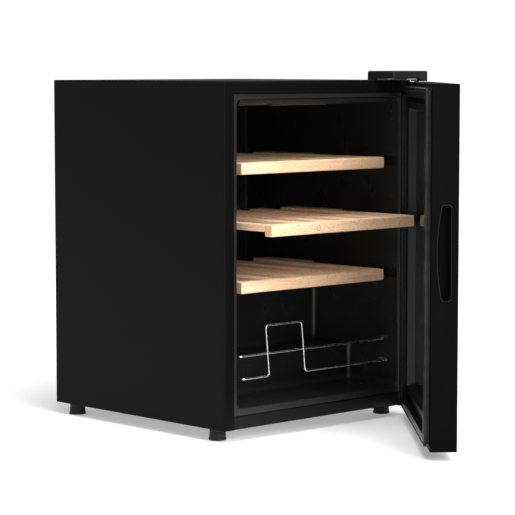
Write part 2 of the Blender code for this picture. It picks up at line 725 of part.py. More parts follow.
def blade_outline(radius, hub):
    """A hub with swept blades around it, as one outline."""
    points = []
    step = 360 / FAN_BLADES
    for blade in range(FAN_BLADES):
        start = blade * step
        points += arc(0, 0, hub, start, start + step * 0.3, 2)
        points += arc(0, 0, radius, start + step * 0.35, start + step * 0.95, 3)
    return points


def ceiling_module(root):
    """Control housing under the ceiling, with its touch window and the light's lens."""
    top = CEILING - GAP
    profile = [(8 * MM, top), (8 * MM, top - 7 * MM), (14 * MM, top - 11 * MM),
               (74 * MM, top - 11 * MM), (84 * MM, top)]
    housing = prism("control_housing", [profile], -CAVITY_HALF + 14 * MM, CAVITY_HALF - 14 * MM, "X",
                    LINER_PLASTIC)
    lens_pocket = box("lens_pocket", (-60 * MM, 46 * MM, top - 20 * MM), (60 * MM, 60 * MM, top - 8 * MM))
    window_pocket = box("window_pocket", (-60 * MM, 20 * MM, top - 20 * MM),
                        (60 * MM, 38 * MM, top - 9.5 * MM))
    for cutter in (lens_pocket, window_pocket):
        place(cut(housing, cutter), root)
    place(housing, root)
    lens = box("light_lens", (-60 * MM + FIT, 46 * MM + FIT, top - 12.5 * MM),
               (60 * MM - FIT, 60 * MM - FIT, top - 8 * MM - FIT), LIGHT_PLASTIC)
    place(lens, root)
    window = box("touch_window", (-60 * MM + FIT, 20 * MM + FIT, top - 11.2 * MM),
                 (60 * MM - FIT, 38 * MM - FIT, top - 9.5 * MM - FIT), DARK_GLASS)
    place(window, root)


# ---- machine room --------------------------------------------------------------------------------
def compressor_deck(root):
    half = HALF - SHEET - GAP
    deck = box("compressor_deck", (-half, ROOM_FRONT + GAP, BASE),
               (half, REAR - GAP, BASE + DECK_THICK), GALVANISED)
    place(deck, root)


def compressor(root):
    """Hermetic shell: a turned can with domed ends, on a foot plate with its rubber mounts."""
    profile = []
    bottom = COMPRESSOR_LIFT
    top = bottom + COMPRESSOR_HEIGHT
    radius = COMPRESSOR_RADIUS
    dome = 22 * MM
    for z, share in ((top, 0.0), (top - 3 * MM, 0.45), (top - 9 * MM, 0.78), (top - dome, 0.96)):
        profile.append((radius * share, z))
    profile += [(radius, top - dome - 8 * MM), (radius, bottom + dome), (radius * 0.93, bottom + dome * 0.5)]
    profile += [(radius * 0.7, bottom + 3 * MM), (0.0, bottom)]
    bm = bmesh.new()
    verts = [bm.verts.new((x, 0, z)) for x, z in profile]
    for first, second in zip(verts, verts[1:]):
        bm.edges.new((first, second))
    bmesh.ops.spin(bm, geom=bm.verts[:] + bm.edges[:], cent=(0, 0, 0), axis=(0, 0, 1), angle=2 * math.pi,
                   steps=24, use_merge=True)
    bmesh.ops.remove_doubles(bm, verts=bm.verts, dist=1e-5)
    can = add_mesh("compressor", bm, BLACK_STEEL, smooth=True)
    at = Vector((COMPRESSOR_X, COMPRESSOR_Y, BASE + DECK_THICK))
    can.location = at
    plate = box("compressor_feet", (-64 * MM, -52 * MM, 10 * MM), (64 * MM, 52 * MM, 12.5 * MM), GALVANISED)
    join(can, cylinder("compressor_stalk", 30 * MM, at + Vector((0, 0, 12.8 * MM)), 20 * MM))
    plate.location = at
    mounts = cylinders("rubber_mounts", [(8 * MM, at + Vector((x, y, GAP)), 11 * MM, "Z")
                                         for x in (-54 * MM, 54 * MM) for y in (-42 * MM, 42 * MM)], 12)
    join(plate, mounts)
    for piece in (can, plate, mounts, bpy.data.objects["compressor_stalk"]):
        place(piece, root)


def condenser(root):
    """Serpentine condenser standing across the machine room behind its fan."""
    left = COIL_LEFT
    right = COIL_RIGHT
    y = COIL_Y
    low = BASE + 30 * MM
    points = []
    for row in range(COIL_ROWS):
        z = low + row * COIL_PITCH
        ends = (left, right) if row % 2 == 0 else (right, left)
        points.append((ends[0], y, z))
        points.append((ends[1], y, z))
        if row < COIL_ROWS - 1:
            bulge = COIL_PITCH / 2 * (1 if row % 2 == 0 else -1)
            for step in range(1, 5):
                angle = math.pi * step / 5
                points.append((ends[1] + bulge * math.sin(angle), y,
                               z + COIL_PITCH / 2 * (1 - math.cos(angle))))
    place(tube("condenser_coil", points, COIL_TUBE, COPPER), root)


def refrigerant_parts(root):
    at = Vector((COMPRESSOR_X, COMPRESSOR_Y, BASE + DECK_THICK))
    riser_x, riser_y = riser_places()["suction"]
    top = FLOOR + HUMP_RISE + 18 * MM
    shell_top = at.z + COMPRESSOR_LIFT + COMPRESSOR_HEIGHT
    middle = shell_top + 14 * MM
    suction = [(at.x + 20 * MM, at.y + 20 * MM, shell_top + MM), (at.x + 20 * MM, at.y + 20 * MM, middle),
               (riser_x, riser_y, middle), (riser_x, riser_y, top)]
    place(tube("suction_pipe", rounded_path(suction, 8 * MM), RISER_RADIUS, COPPER), root)
    low = BASE + 30 * MM
    discharge = [(at.x + COMPRESSOR_RADIUS + 1.5 * MM, at.y + 34 * MM, at.z + 34 * MM),
                 (at.x + COMPRESSOR_RADIUS + 42 * MM, at.y + 34 * MM, at.z + 34 * MM),
                 (at.x + COMPRESSOR_RADIUS + 42 * MM, COIL_Y, low), (COIL_LEFT - 1 * MM, COIL_Y, low)]
    place(tube("discharge_pipe", rounded_path(discharge, 8 * MM), COIL_TUBE, COPPER), root)


def drain_parts(root):
    """Melt water runs from the hump down a tube into a tray that the compressor warms."""
    x, y = riser_places()["drain"]
    tube_low = ROOM_TOP - 14 * MM
    tube_high = FLOOR + HUMP_RISE - LINER_WALL - GAP
    outlet = cylinder("drain_tube", DRAIN_RADIUS, (x, y, tube_low), tube_high - tube_low,
                      mat=BLACK_PLASTIC, sides=14)
    place(cut(outlet, cylinder("drain_bore", 4 * MM, (x, y, tube_low - MM), 60 * MM, sides=14)), root)
    place(outlet, root)
    low = BASE + DECK_THICK + COMPRESSOR_LIFT + COMPRESSOR_HEIGHT + 1 * MM
    tray = box("drain_tray", (x - 40 * MM, y - 46 * MM, low), (x + 40 * MM, y + 40 * MM, low + 18 * MM),
               BLACK_PLASTIC)
    hollow = box("tray_hollow", (x - 38 * MM, y - 44 * MM, low + 2 * MM),
                 (x + 38 * MM, y + 38 * MM, low + 40 * MM))
    place(cut(tray, hollow), root)
    place(tray, root)


def inlet_place():
    return 30 * MM, BASE + 40 * MM


def electrics(root):
    """Control board box on the machine room's side wall, and the mains inlet in the cover."""
    left = -HALF + BOARD_FROM_SIDE
    front = ROOM_FRONT + 16 * MM
    board = box("control_board_box", (left, front, BASE + 60 * MM),
                (left + 40 * MM, front + 60 * MM, BASE + 160 * MM),
                BLACK_PLASTIC, bevel=2 * MM, segments=1)
    place(board, root)
    x, z = inlet_place()
    inlet = box("power_inlet", (x - 14 * MM + FIT, REAR - 22 * MM, z - 10 * MM + FIT),
                (x + 14 * MM - FIT, REAR + 2 * MM, z + 10 * MM - FIT), BLACK_PLASTIC)
    socket = box("inlet_socket", (x - 11 * MM, REAR - 16 * MM, z - 7 * MM),
                 (x + 11 * MM, REAR + 5 * MM, z + 7 * MM))
    place(cut(inlet, socket), root)
    pins = boxes("inlet_pins", [((x + dx - 1.2 * MM, REAR - 18 * MM, z + dz - 2 * MM),
                                 (x + dx + 1.2 * MM, REAR - 4 * MM, z + dz + 2 * MM))
                                for dx, dz in ((-6 * MM, 0), (0, 2 * MM), (6 * MM, 0))])
    place(join(inlet, pins), root)
    place(inlet, root)


# ---- bottle guard --------------------------------------------------------------------------------
def bottle_guard(root):
    """Two chromed wires across the lowest bay; the lower one rises in a square loop."""
    y = GUARD_FRONT
    low = BASE + GUARD_LOW
    high = BASE + GUARD_HIGH
    top = BASE + GUARD_LOOP_TOP
    back = y + GUARD_RETURN
    tip = CAVITY_HALF + 3 * MM
    lean = GUARD_LEAN
    lower = [(-tip, back, low), (-GUARD_HALF, back, low), (-GUARD_HALF, y, low), (GUARD_LOOP_LEFT, y, low),
             (GUARD_LOOP_LEFT, y + lean, top), (GUARD_LOOP_RIGHT, y + lean, top), (GUARD_LOOP_RIGHT, y, low),
             (GUARD_HALF, y, low), (GUARD_HALF, back, low), (tip, back, low)]
    place(tube("bottle_guard_lower_wire", rounded_path(lower, 6 * MM), GUARD_WIRE, CHROME), root)
    set_back = lean * (GUARD_HIGH - GUARD_LOW) / (GUARD_LOOP_TOP - GUARD_LOW)
    front = y + set_back + 2 * GUARD_WIRE + FIT
    upper = [(-tip, back, high), (-GUARD_HALF, back, high), (-GUARD_HALF, front, high),
             (GUARD_HALF, front, high),
             (GUARD_HALF, back, high), (tip, back, high)]
    place(tube("bottle_guard_upper_wire", rounded_path(upper, 6 * MM), GUARD_WIRE, CHROME), root)


# ---- hinges --------------------------------------------------------------------------------------
def top_screw_places():
    y = COVER_BACK - 12 * MM
    return [(HALF - COVER_LEFT + 20 * MM, y), (HALF - COVER_LEFT + 52 * MM, y)]


def bottom_screw_places():
    return [(HINGE_X - 34 * MM, 24 * MM), (HINGE_X - 58 * MM, 24 * MM)]


def top_hinge(root):
    """Steel plate on the cabinet's top with a pin down into the door, two screws and a plastic cover."""
    low = TOP + GAP
    high = low + TOP_PLATE_THICK
    left = HALF - COVER_LEFT + 6 * MM
    right = HALF - 6 * MM
    back = COVER_BACK - 4 * MM
    nose_left = HINGE_X - NOSE_WIDTH
    outline = [(left, 2 * MM), (nose_left, 2 * MM), (nose_left, HINGE_Y - PLATE_NOSE)]
    outline += arc(HINGE_X, HINGE_Y, PLATE_NOSE, 270, 345, 5)
    outline += [(right, back), (left, back)]
    plate = prism("top_hinge_plate", [outline], low, high, "Z", BRIGHT_STEEL)
    pin = cylinder("top_hinge_pin", PIN_RADIUS, (HINGE_X, HINGE_Y, DOOR_HIGH - PIN_LENGTH),
                   high - DOOR_HIGH + PIN_LENGTH - MM / 2, sides=24)
    place(join(plate, pin), root)
    holes = [(SCREW_RADIUS + FIT, (x, y, low - MM), 5 * MM, "Z") for x, y in top_screw_places()]
    place(cut(plate, cylinders("top_plate_holes", holes, 12)), root)
    place(plate, root)
    for number, (x, y) in enumerate(top_screw_places(), 1):
        screw(f"top_hinge_screw_{number}", (x, y, high + GAP), -1, TOP_PLATE_THICK + 3 * MM, root)
    hinge_cover(high + GAP, root)


def hinge_cover(plate_clear, root):
    """Moulded cap over the plate; a skirt reaches the cabinet and a boss hangs down round the pin."""
    wall = COVER_WALL
    top = plate_clear + COVER_HEIGHT
    low = DOOR_HIGH + COVER_ABOVE_DOOR
    x0 = HALF - COVER_LEFT
    outer = rounded_rectangle(x0, -COVER_FRONT, HALF, COVER_BACK, COVER_RADIUS, 2)
    cover = prism("top_hinge_cover", [outer], low, top, "Z", BLACK_PLASTIC)
    inner = rounded_rectangle(x0 + wall, -COVER_FRONT + wall, HALF - wall, COVER_BACK - wall,
                              COVER_RADIUS - wall, 2)
    hollow = prism("cover_hollow", [inner], low - MM, top - wall, "Z")
    over_plate = box("cover_over_plate", (x0 - MM, -COVER_FRONT - MM, low - 2 * MM),
                     (HALF - BOSS_WIDTH, GAP, plate_clear))
    over_cabinet = box("cover_over_cabinet", (x0 - 2 * MM, -2 * MM, low - 3 * MM),
                       (HALF + MM, COVER_BACK + MM, TOP + GAP))
    for cutter in (hollow, over_plate, over_cabinet):
        place(cut(cover, cutter), root)
    place(cover, root)


def bottom_hinge(root):
    """Steel plate under the cabinet with a pin up into the door, held by two screws."""
    high = BASE - GAP
    low = high - BOTTOM_PLATE_THICK
    left = HINGE_X - 70 * MM
    right = HINGE_X + PLATE_NOSE
    front = 6 * MM
    outline = [(left, front), (HINGE_X - PLATE_NOSE, front)]
    outline += arc(HINGE_X, HINGE_Y, PLATE_NOSE, 180, 360, 8)
    outline += [(right, front + 6 * MM), (HINGE_X - 25 * MM, front + 6 * MM),
                (HINGE_X - 25 * MM, 34 * MM), (left, 34 * MM)]
    plate = prism("bottom_hinge_plate", [outline], low, high, "Z", BRIGHT_STEEL)
    pin = cylinder("bottom_hinge_pin", PIN_RADIUS, (HINGE_X, HINGE_Y, low + MM / 2),
                   DOOR_LOW + NOTCH_RISE + PIN_LENGTH - low, sides=24)
    place(join(plate, pin), root)
    holes = [(SCREW_RADIUS + FIT, (x, y, low - MM), 5 * MM, "Z") for x, y in bottom_screw_places()]
    place(cut(plate, cylinders("bottom_plate_holes", holes, 12)), root)
    place(plate, root)
    for number, (x, y) in enumerate(bottom_screw_places(), 1):
        screw(f"bottom_hinge_screw_{number}", (x, y, low - GAP), 1, BOTTOM_PLATE_THICK + 3 * MM, root)


def screw(name, at, direction, length, root):
    """Round head against the plate and a plain shank; direction is the way that the shank points."""
    x, y, z = at
    head_start = z if direction < 0 else z - SCREW_HEAD_HEIGHT
    small = SCREW_HEAD * 0.7
    radii = (SCREW_HEAD, small) if direction < 0 else (small, SCREW_HEAD)
    head = cylinder(name, radii[0], (x, y, head_start), SCREW_HEAD_HEIGHT, mat=BRIGHT_STEEL, sides=16,
                    end_radius=radii[1])
    overlap = SCREW_HEAD_HEIGHT / 2
    shank_start = z - length if direction < 0 else z - overlap
    shank = cylinder(name + "_shank", SCREW_RADIUS, (x, y, shank_start), length + overlap, sides=12)
    place(join(head, shank), root)
    place(head, root)


# ---- door ----------------------------------------------------------------------------------------
def grip_outline(shrink):
    """The hand recess seen on the door's free edge, as (y, z): one long side bows towards the cabinet."""
    near = DOOR_BACK - GRIP_NEAR - shrink
    far = DOOR_BACK - GRIP_FAR + shrink
    low = BASE + GRIP_BOTTOM + shrink
    high = BASE + GRIP_TOP - shrink
    radius = GRIP_RADIUS
    end = near - GRIP_BOW - radius
    bow = []
    for step in range(1, GRIP_BOW_STEPS):
        share = step / GRIP_BOW_STEPS
        z = low + radius + share * (high - low - 2 * radius)
        bow.append((near - GRIP_BOW * (2 * share - 1) ** 2, z))
    return (arc(far + radius, low + radius, radius, 180, 270, 3) + arc(end, low + radius, radius, 270, 350, 3)
            + bow + arc(end, high - radius, radius, 10, 90, 3) + arc(far + radius, high - radius,
                                                                     radius, 90, 180, 3))


def door_frame(door):
    """Moulded surround: a glass rebate in front, a window through it, and the inner pane's seat."""
    frame = box("door_frame", (-HALF, DOOR_FRONT, DOOR_LOW), (HALF, DOOR_BACK, DOOR_HIGH), BLACK_PLASTIC)
    rim = GLASS_RIM
    front_seat = box("front_glass_seat", (-HALF + rim, DOOR_FRONT - MM, DOOR_LOW + rim + NOTCH_RISE),
                     (HALF - rim, DOOR_FRONT + FRONT_GLASS + GAP, DOOR_HIGH - rim))
    x0, z0, x1, z1 = window_span(0.0)
    window = box("door_window", (x0, DOOR_FRONT, z0), (x1, DOOR_BACK + MM, z1))
    x0, z0, x1, z1 = window_span(INNER_FRAME_WIDTH)
    seat = box("inner_pane_seat", (x0, INNER_PANE_BACK - INNER_GLASS - GAP, z0), (x1, DOOR_BACK + MM, z1))
    notch = box("hinge_notch", (HALF - NOTCH_WIDTH, DOOR_FRONT - MM, DOOR_LOW - MM),
                (HALF + MM, DOOR_BACK + MM, DOOR_LOW + NOTCH_RISE))
    grip = prism("grip_pocket", [grip_outline(0.0)], -HALF - MM, -HALF + GRIP_DEEP + GAP, "X")
    bushes = cylinders("bush_holes", [
        (BUSH_RADIUS + GAP, (HINGE_X, HINGE_Y, DOOR_LOW), NOTCH_RISE + BUSH_LENGTH + GAP, "Z"),
        (BUSH_RADIUS + GAP, (HINGE_X, HINGE_Y, DOOR_HIGH - BUSH_LENGTH - GAP), BUSH_LENGTH + 2 * MM,
         "Z")], 24)
    for cutter in (front_seat, window, seat, notch, grip, bushes):
        place(cut(frame, cutter), door)
    place(frame, door)


def window_span(grow):
    """The door's window grown by a width, as (x0, z0, x1, z1)."""
    inset = DOOR_BORDER - grow
    return (-HALF + inset, DOOR_LOW + inset, HALF - inset, DOOR_HIGH - inset)


def shrink(span, by):
    x0, z0, x1, z1 = span
    return (x0 + by, z0 + by, x1 - by, z1 - by)


def door_glazing(door):
    rim = GLASS_RIM + GAP
    low = DOOR_LOW + NOTCH_RISE + rim
    front = box("door_front_glass", (-HALF + rim, DOOR_FRONT, low),
                (HALF - rim, DOOR_FRONT + FRONT_GLASS, DOOR_HIGH - rim), DARK_GLASS)
    place(front, door)
    x0, z0, x1, z1 = shrink(window_span(INNER_FRAME_WIDTH), GAP)
    pane = box("door_inner_glass", (x0, INNER_PANE_BACK - INNER_GLASS, z0), (x1, INNER_PANE_BACK, z1),
               DARK_GLASS)
    place(pane, door)
    outer = shrink(window_span(0.0), GAP)
    inner = shrink(outer, SPACER_WIDTH)
    spacer = ring("glass_spacer", outer, inner, DOOR_FRONT + FRONT_GLASS + GAP,
                  INNER_PANE_BACK - INNER_GLASS - GAP,
                  ALUMINIUM)
    place(spacer, door)


def door_inner_frame(door):
    """Trim ring that holds the inner pane; its inner faces slope towards the glass."""
    outer = shrink(window_span(INNER_FRAME_WIDTH), GAP)
    inner = shrink(outer, INNER_FRAME_WIDTH)
    trim = ring("door_inner_frame", outer, inner, INNER_PANE_BACK + GAP, DOOR_BACK, BLACK_PLASTIC)
    x0, z0, x1, z1 = inner
    middle = Vector(((x0 + x1) / 2, DOOR_BACK, (z0 + z1) / 2))
    slope = INNER_FRAME_SLOPE
    bm = bmesh.new()
    verts = box_bm(bm, (x0 - slope, INNER_PANE_BACK, z0 - slope), (x1 + slope, DOOR_BACK + MM, z1 + slope))
    narrow = [vert for vert in verts if vert.co.y < middle.y - INNER_GLASS_DEEP / 2]
    factor = Vector(((x1 - x0) / (x1 - x0 + 2 * slope), 1, (z1 - z0) / (z1 - z0 + 2 * slope)))
    bmesh.ops.scale(bm, vec=factor, verts=narrow, space=Matrix.Translation(-middle))
    place(cut(trim, add_mesh("trim_slope", bm)), door)
    place(trim, door)


def door_gasket(door):
    """Magnetic seal ring on the door's inner face, with a bellows groove round its outside."""
    margin = GASKET_MARGIN
    outer = (-HALF + margin, DOOR_LOW + margin, HALF - GASKET_HINGE_MARGIN, DOOR_HIGH - margin)
    inner = shrink(outer, GASKET_WIDTH)
    front = DOOR_BACK + GAP
    back = -GAP
    gasket = ring("door_gasket", outer, inner, front, back, GREY_RUBBER)
    middle = (front + back) / 2
    around = ring("gasket_groove", shrink(outer, -2 * MM), shrink(outer, GASKET_GROOVE), middle - MM,
                  middle + MM, None)
    place(cut(gasket, around), door)
    place(gasket, door)


def grip_cup(door):
    """Thin lining of the hand recess, open towards the door's free edge."""
    cup = prism("grip_cup", [grip_outline(GAP)], -HALF, -HALF + GRIP_DEEP, "X", BLACK_PLASTIC)
    hollow = prism("grip_hollow", [grip_outline(GAP + GRIP_WALL)], -HALF - MM,
                   -HALF + GRIP_DEEP - GRIP_WALL, "X")
    place(cut(cup, hollow), door)
    place(cup, door)


def door_bushes(door):
    low = DOOR_LOW + NOTCH_RISE
    for name, start in (("door_bottom_bush", low), ("door_top_bush", DOOR_HIGH - BUSH_LENGTH)):
        bush = cylinder(name, BUSH_RADIUS, (HINGE_X, HINGE_Y, start), BUSH_LENGTH, mat=BLACK_PLASTIC,
                        sides=24)
        bore = cylinder(name + "_bore", PIN_RADIUS + PIN_PLAY, (HINGE_X, HINGE_Y, start - MM),
                        BUSH_LENGTH + 2 * MM,
                        sides=24)
        place(cut(bush, bore), door)
        place(bush, door)


# ---- shelves -------------------------------------------------------------------------------------
def shelf(name, index, body):
    """Front bar, two side rails with their guides, and the slats on a rear bar."""
    high = shelf_height(index)
    half = SHELF_WIDTH / 2
    front = SHELF_FRONT
    back = front + SHELF_LENGTH
    rail_low = high - RAIL_HEIGHT
    place(box(name + "_front_bar", (-half, front, high - BAR_HEIGHT), (half, front + BAR_THICK, high), BEECH,
              bevel=2.5 * MM), body)
    guide_half = GROOVE_HEIGHT / 2 - GUIDE_PLAY
    middle = groove_middle(index)
    for label, side in (("left", -1), ("right", 1)):
        inner = half - RAIL_WIDTH
        x0, x1 = sorted((side * inner, side * half))
        rail = box(f"{name}_{label}_rail", (x0, front + BAR_THICK + GAP, rail_low), (x1, back, high), BEECH)
        g0, g1 = sorted((side * (half - 6 * MM), side * (CAVITY_HALF + GROOVE_DEPTH - 1.5 * MM)))
        guide = box(f"{name}_{label}_guide", (g0, back - GUIDE_LENGTH, middle - guide_half),
                    (g1, back, middle + guide_half))
        place(join(rail, guide), body)
        place(rail, body)
    inner = half - RAIL_WIDTH - GAP
    slat_low = high - SLAT_HEIGHT
    rear = box(name + "_slats", (-inner, back - BAR_THICK, rail_low), (inner, back, slat_low + 2 * MM), BEECH)
    pitch = 2 * inner / (SLATS + 1)
    slats = boxes(name + "_slat_strips", [
        ((-inner + pitch * (i + 1) - SLAT_WIDTH / 2, front + BAR_THICK + GAP, slat_low),
         (-inner + pitch * (i + 1) + SLAT_WIDTH / 2, back - MM, high)) for i in range(SLATS)])
    place(join(rear, slats), body)
    place(rear, body)


# ---- assembly ------------------------------------------------------------------------------------
def door_point(along, inward):
    """Where a point of the closed door, given from its hinge, stands in plan when the door is open."""
    turned = Matrix.Rotation(DOOR_OPEN, 2) @ Vector((along, inward))
    return turned + Vector((HINGE_X, HINGE_Y))


def origin_shift():
    """The move that puts the middle of the open cooler's footprint at the origin."""
    front = DOOR_FRONT - HINGE_Y
    right = max(door_point(HINGE_INSET, front).x, HALF)
    nearest = door_point(HINGE_INSET - WIDTH, front).y
    return Vector((-(right - HALF) / 2, -(nearest + DEPTH) / 2, 0.0))


def build():
    root = empty("cabinet", (0, 0, 0))
    door = empty("door_hinge", (HINGE_X, HINGE_Y, 0), root)
    shelves = {name: empty(name + "_shelf_slide", (0, 0, 0), root) for name in ("bottom", "middle", "top")}
    condenser_fan = (HALF - CONDENSER_FAN_FROM_SIDE, DEPTH - CONDENSER_FAN_FROM_BACK,
                     BASE + CONDENSER_FAN_RISE)
    fan_places = {"condenser_fan": condenser_fan, "duct_fan": (0, DUCT_Y + 4.5 * MM, DUCT_FAN_Z)}
    fans = {name: empty(name + "_axis", at, root) for name, at in fan_places.items()}

    cabinet_wrap(root)
    front_sill(root)
    base_pan(root)
    inner_liner(root)
    insulation_foam(root)
    rear_panel(root)
    machine_room_cover(root)
    feet(root)
    duct_panel(root)
    evaporator(root)
    axial_fan("duct_fan", fan_places["duct_fan"], 36 * MM, 44 * MM, 18 * MM, fans["duct_fan"], root)
    axial_fan("condenser_fan", fan_places["condenser_fan"], 54 * MM, 62 * MM, 25 * MM,
              fans["condenser_fan"], root)
    ceiling_module(root)
    compressor_deck(root)
    compressor(root)
    condenser(root)
    refrigerant_parts(root)
    drain_parts(root)
    electrics(root)
    bottle_guard(root)
    top_hinge(root)
    bottom_hinge(root)

    door_frame(door)
    door_glazing(door)
    door_inner_frame(door)
    door_gasket(door)
    grip_cup(door)
    door_bushes(door)
    for index, (name, body) in enumerate(shelves.items()):
        shelf(name + "_shelf", index, body)

    door.rotation_euler = (0, 0, DOOR_OPEN)
    shelves["middle"].location.y -= MIDDLE_SHELF_OUT
    root.location = origin_shift()


build()
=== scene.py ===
"""Looks of a free-standing wine cooler: painted cabinet, moulded liner, glazed door and beech shelves.

Pieces are modelled in cabinet coordinates (X from the cabinet's middle, Y from its front plane to the back, Z
from the floor) with the door closed and the shelves home. Each mesh is then put where its body stands.
"""
import json
import math

import bmesh
import bpy
from mathutils import Matrix, Vector


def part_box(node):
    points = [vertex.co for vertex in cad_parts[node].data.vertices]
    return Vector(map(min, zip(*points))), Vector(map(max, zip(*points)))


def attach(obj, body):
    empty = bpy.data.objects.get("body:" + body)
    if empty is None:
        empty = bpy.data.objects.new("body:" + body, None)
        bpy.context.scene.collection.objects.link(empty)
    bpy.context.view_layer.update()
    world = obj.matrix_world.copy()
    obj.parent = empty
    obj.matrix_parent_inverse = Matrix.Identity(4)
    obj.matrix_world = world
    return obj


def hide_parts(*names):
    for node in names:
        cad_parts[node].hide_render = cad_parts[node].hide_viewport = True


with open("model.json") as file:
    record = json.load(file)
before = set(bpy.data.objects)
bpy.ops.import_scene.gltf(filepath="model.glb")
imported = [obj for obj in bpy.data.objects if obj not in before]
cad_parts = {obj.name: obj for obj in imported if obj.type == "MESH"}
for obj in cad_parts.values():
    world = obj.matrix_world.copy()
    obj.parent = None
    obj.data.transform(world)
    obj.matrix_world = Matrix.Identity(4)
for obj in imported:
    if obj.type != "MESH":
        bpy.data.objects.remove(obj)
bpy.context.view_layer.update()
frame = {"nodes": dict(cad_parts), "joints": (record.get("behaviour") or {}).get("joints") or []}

MM = 0.001
NEAR = 2e-5  # metres from a plane within which a vertex counts as lying on it
CREASE = 1.2  # radians between two faces from which their shared edge is a sharp one


# ---- where the bodies stand ----------------------------------------------------------------------
def joint(name):
    return next(entry for entry in frame["joints"] if entry["name"] == name)


WRAP_LOW, WRAP_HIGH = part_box("cabinet_wrap")
HALF = (WRAP_HIGH.x - WRAP_LOW.x) / 2
DEPTH = WRAP_HIGH.y - WRAP_LOW.y
BASE = WRAP_LOW.z
TOP = WRAP_HIGH.z
SHIFT = Matrix.Translation(((WRAP_LOW.x + WRAP_HIGH.x) / 2, WRAP_LOW.y, 0))
HINGE = Vector(joint("door_hinge")["pos_m"])
DOOR_OPEN = -math.radians(joint("door_hinge")["range_deg"][0])
DOOR_TURN = Matrix.Translation(HINGE) @ Matrix.Rotation(DOOR_OPEN, 4, "Z") @ Matrix.Translation(-HINGE)
SHELF_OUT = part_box("middle_shelf_front_bar")[0].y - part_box("top_shelf_front_bar")[0].y
PLACES = {
    "cabinet": SHIFT,
    "door": DOOR_TURN @ SHIFT,
    "bottom_shelf": SHIFT,
    "middle_shelf": SHIFT @ Matrix.Translation((0, SHELF_OUT, 0)),
    "top_shelf": SHIFT,
    "front_left_foot": SHIFT,
    "front_right_foot": SHIFT,
    "condenser_fan": SHIFT,
    "duct_fan": SHIFT,
}

STILE = 22 * MM
SILL_HEIGHT = 23 * MM
SHEET = 1.0 * MM
LIP = 8 * MM
CAVITY_HALF = HALF - STILE - LIP
DOOR_BACK = -10 * MM
DOOR_THICK = 44.5 * MM
DOOR_FRONT = DOOR_BACK - DOOR_THICK
DOOR_LOW = BASE - 6.2 * MM
DOOR_HIGH = TOP - 3 * MM
GLASS_BORDER = 54 * MM


# ---- shader building -----------------------------------------------------------------------------
class Field:
    """A shader socket that takes part in Python arithmetic."""

    def __init__(self, finish, socket):
        self.finish = finish
        self.socket = socket

    def math(self, operation, other):
        return self.finish.node("ShaderNodeMath", {"operation": operation}, [self, other])

    def __add__(self, other):
        return self.math("ADD", other)

    __radd__ = __add__

    def __mul__(self, other):
        return self.math("MULTIPLY", other)

    __rmul__ = __mul__

    def __sub__(self, other):
        return self.math("SUBTRACT", other)

    def __rsub__(self, other):
        return self * -1.0 + other

    def __gt__(self, other):
        return self.math("GREATER_THAN", other)

    def __lt__(self, other):
        return self.math("LESS_THAN", other)

    def spread(self, low, high, to_low=0.0, to_high=1.0):
        """The value's span from low to high, moved smoothly onto another span."""
        settings = {"interpolation_type": "SMOOTHSTEP"}
        return self.finish.node("ShaderNodeMapRange", settings, [self, low, high, to_low, to_high])


class Finish:
    """A material being made: its node tree, its shader and its object coordinates."""

    def __init__(self, name, **constants):
        self.material = bpy.data.materials.new(name)
        self.material.use_nodes = True
        self.tree = self.material.node_tree
        self.shader = self.tree.nodes["Principled BSDF"]
        self.place = self.node("ShaderNodeTexCoord", output="Object")
        for socket, value in constants.items():
            self.shader.inputs[socket.replace("_", " ")].default_value = value

    def node(self, kind, settings=None, inputs=(), output=0):
        """A node of a kind: settings go first, then the values or links of its sockets."""
        made = self.tree.nodes.new(kind)
        for key, value in (settings or {}).items():
            if key == "stops":
                while len(made.color_ramp.elements) < len(value):
                    made.color_ramp.elements.new(1.0)
                for stop, (at, color) in zip(made.color_ramp.elements, value):
                    stop.position = at
                    stop.color = (*color, 1.0)
            else:
                setattr(made, key, value)
        pairs = inputs.items() if isinstance(inputs, dict) else enumerate(inputs)
        for key, value in pairs:
            if isinstance(value, Field):
                self.tree.links.new(value.socket, made.inputs[key])
            elif value is not None:
                made.inputs[key].default_value = value
        return Field(self, made.outputs[output])

    def noise(self, scale, detail=2.0, roughness=0.5, at=None, distortion=0.0):
        inputs = {"Vector": at or self.place, "Scale": scale, "Detail": detail,
                  "Roughness": roughness, "Distortion": distortion}
        return self.node("ShaderNodeTexNoise", None, inputs)

    def cells(self, scale, output="Distance"):
        return self.node("ShaderNodeTexVoronoi", None, {"Vector": self.place, "Scale": scale}, output)

    def stretched(self, factors):
        """Object coordinates scaled along each axis, for grain and brush lines."""
        return self.node("ShaderNodeMapping", None, {"Vector": self.place, "Scale": factors})

    def part(self, axis):
        return self.node("ShaderNodeSeparateXYZ", None, [self.place], axis)

    def ramp(self, factor, *stops):
        return self.node("ShaderNodeValToRGB", {"stops": stops}, [factor])

    def blend(self, factor, first, second):
        def full(color):
            return color if isinstance(color, Field) else (*color, 1.0)
        inputs = {0: factor, 6: full(first), 7: full(second)}
        return self.node("ShaderNodeMix", {"data_type": "RGBA"}, inputs, 2)

    def bump(self, height, distance):
        return self.node("ShaderNodeBump", None, {"Height": height, "Distance": distance, "Strength": 1.0})

    def feed(self, **links):
        for socket, value in links.items():
            self.tree.links.new(value.socket, self.shader.inputs[socket.replace("_", " ")])
        return self.material


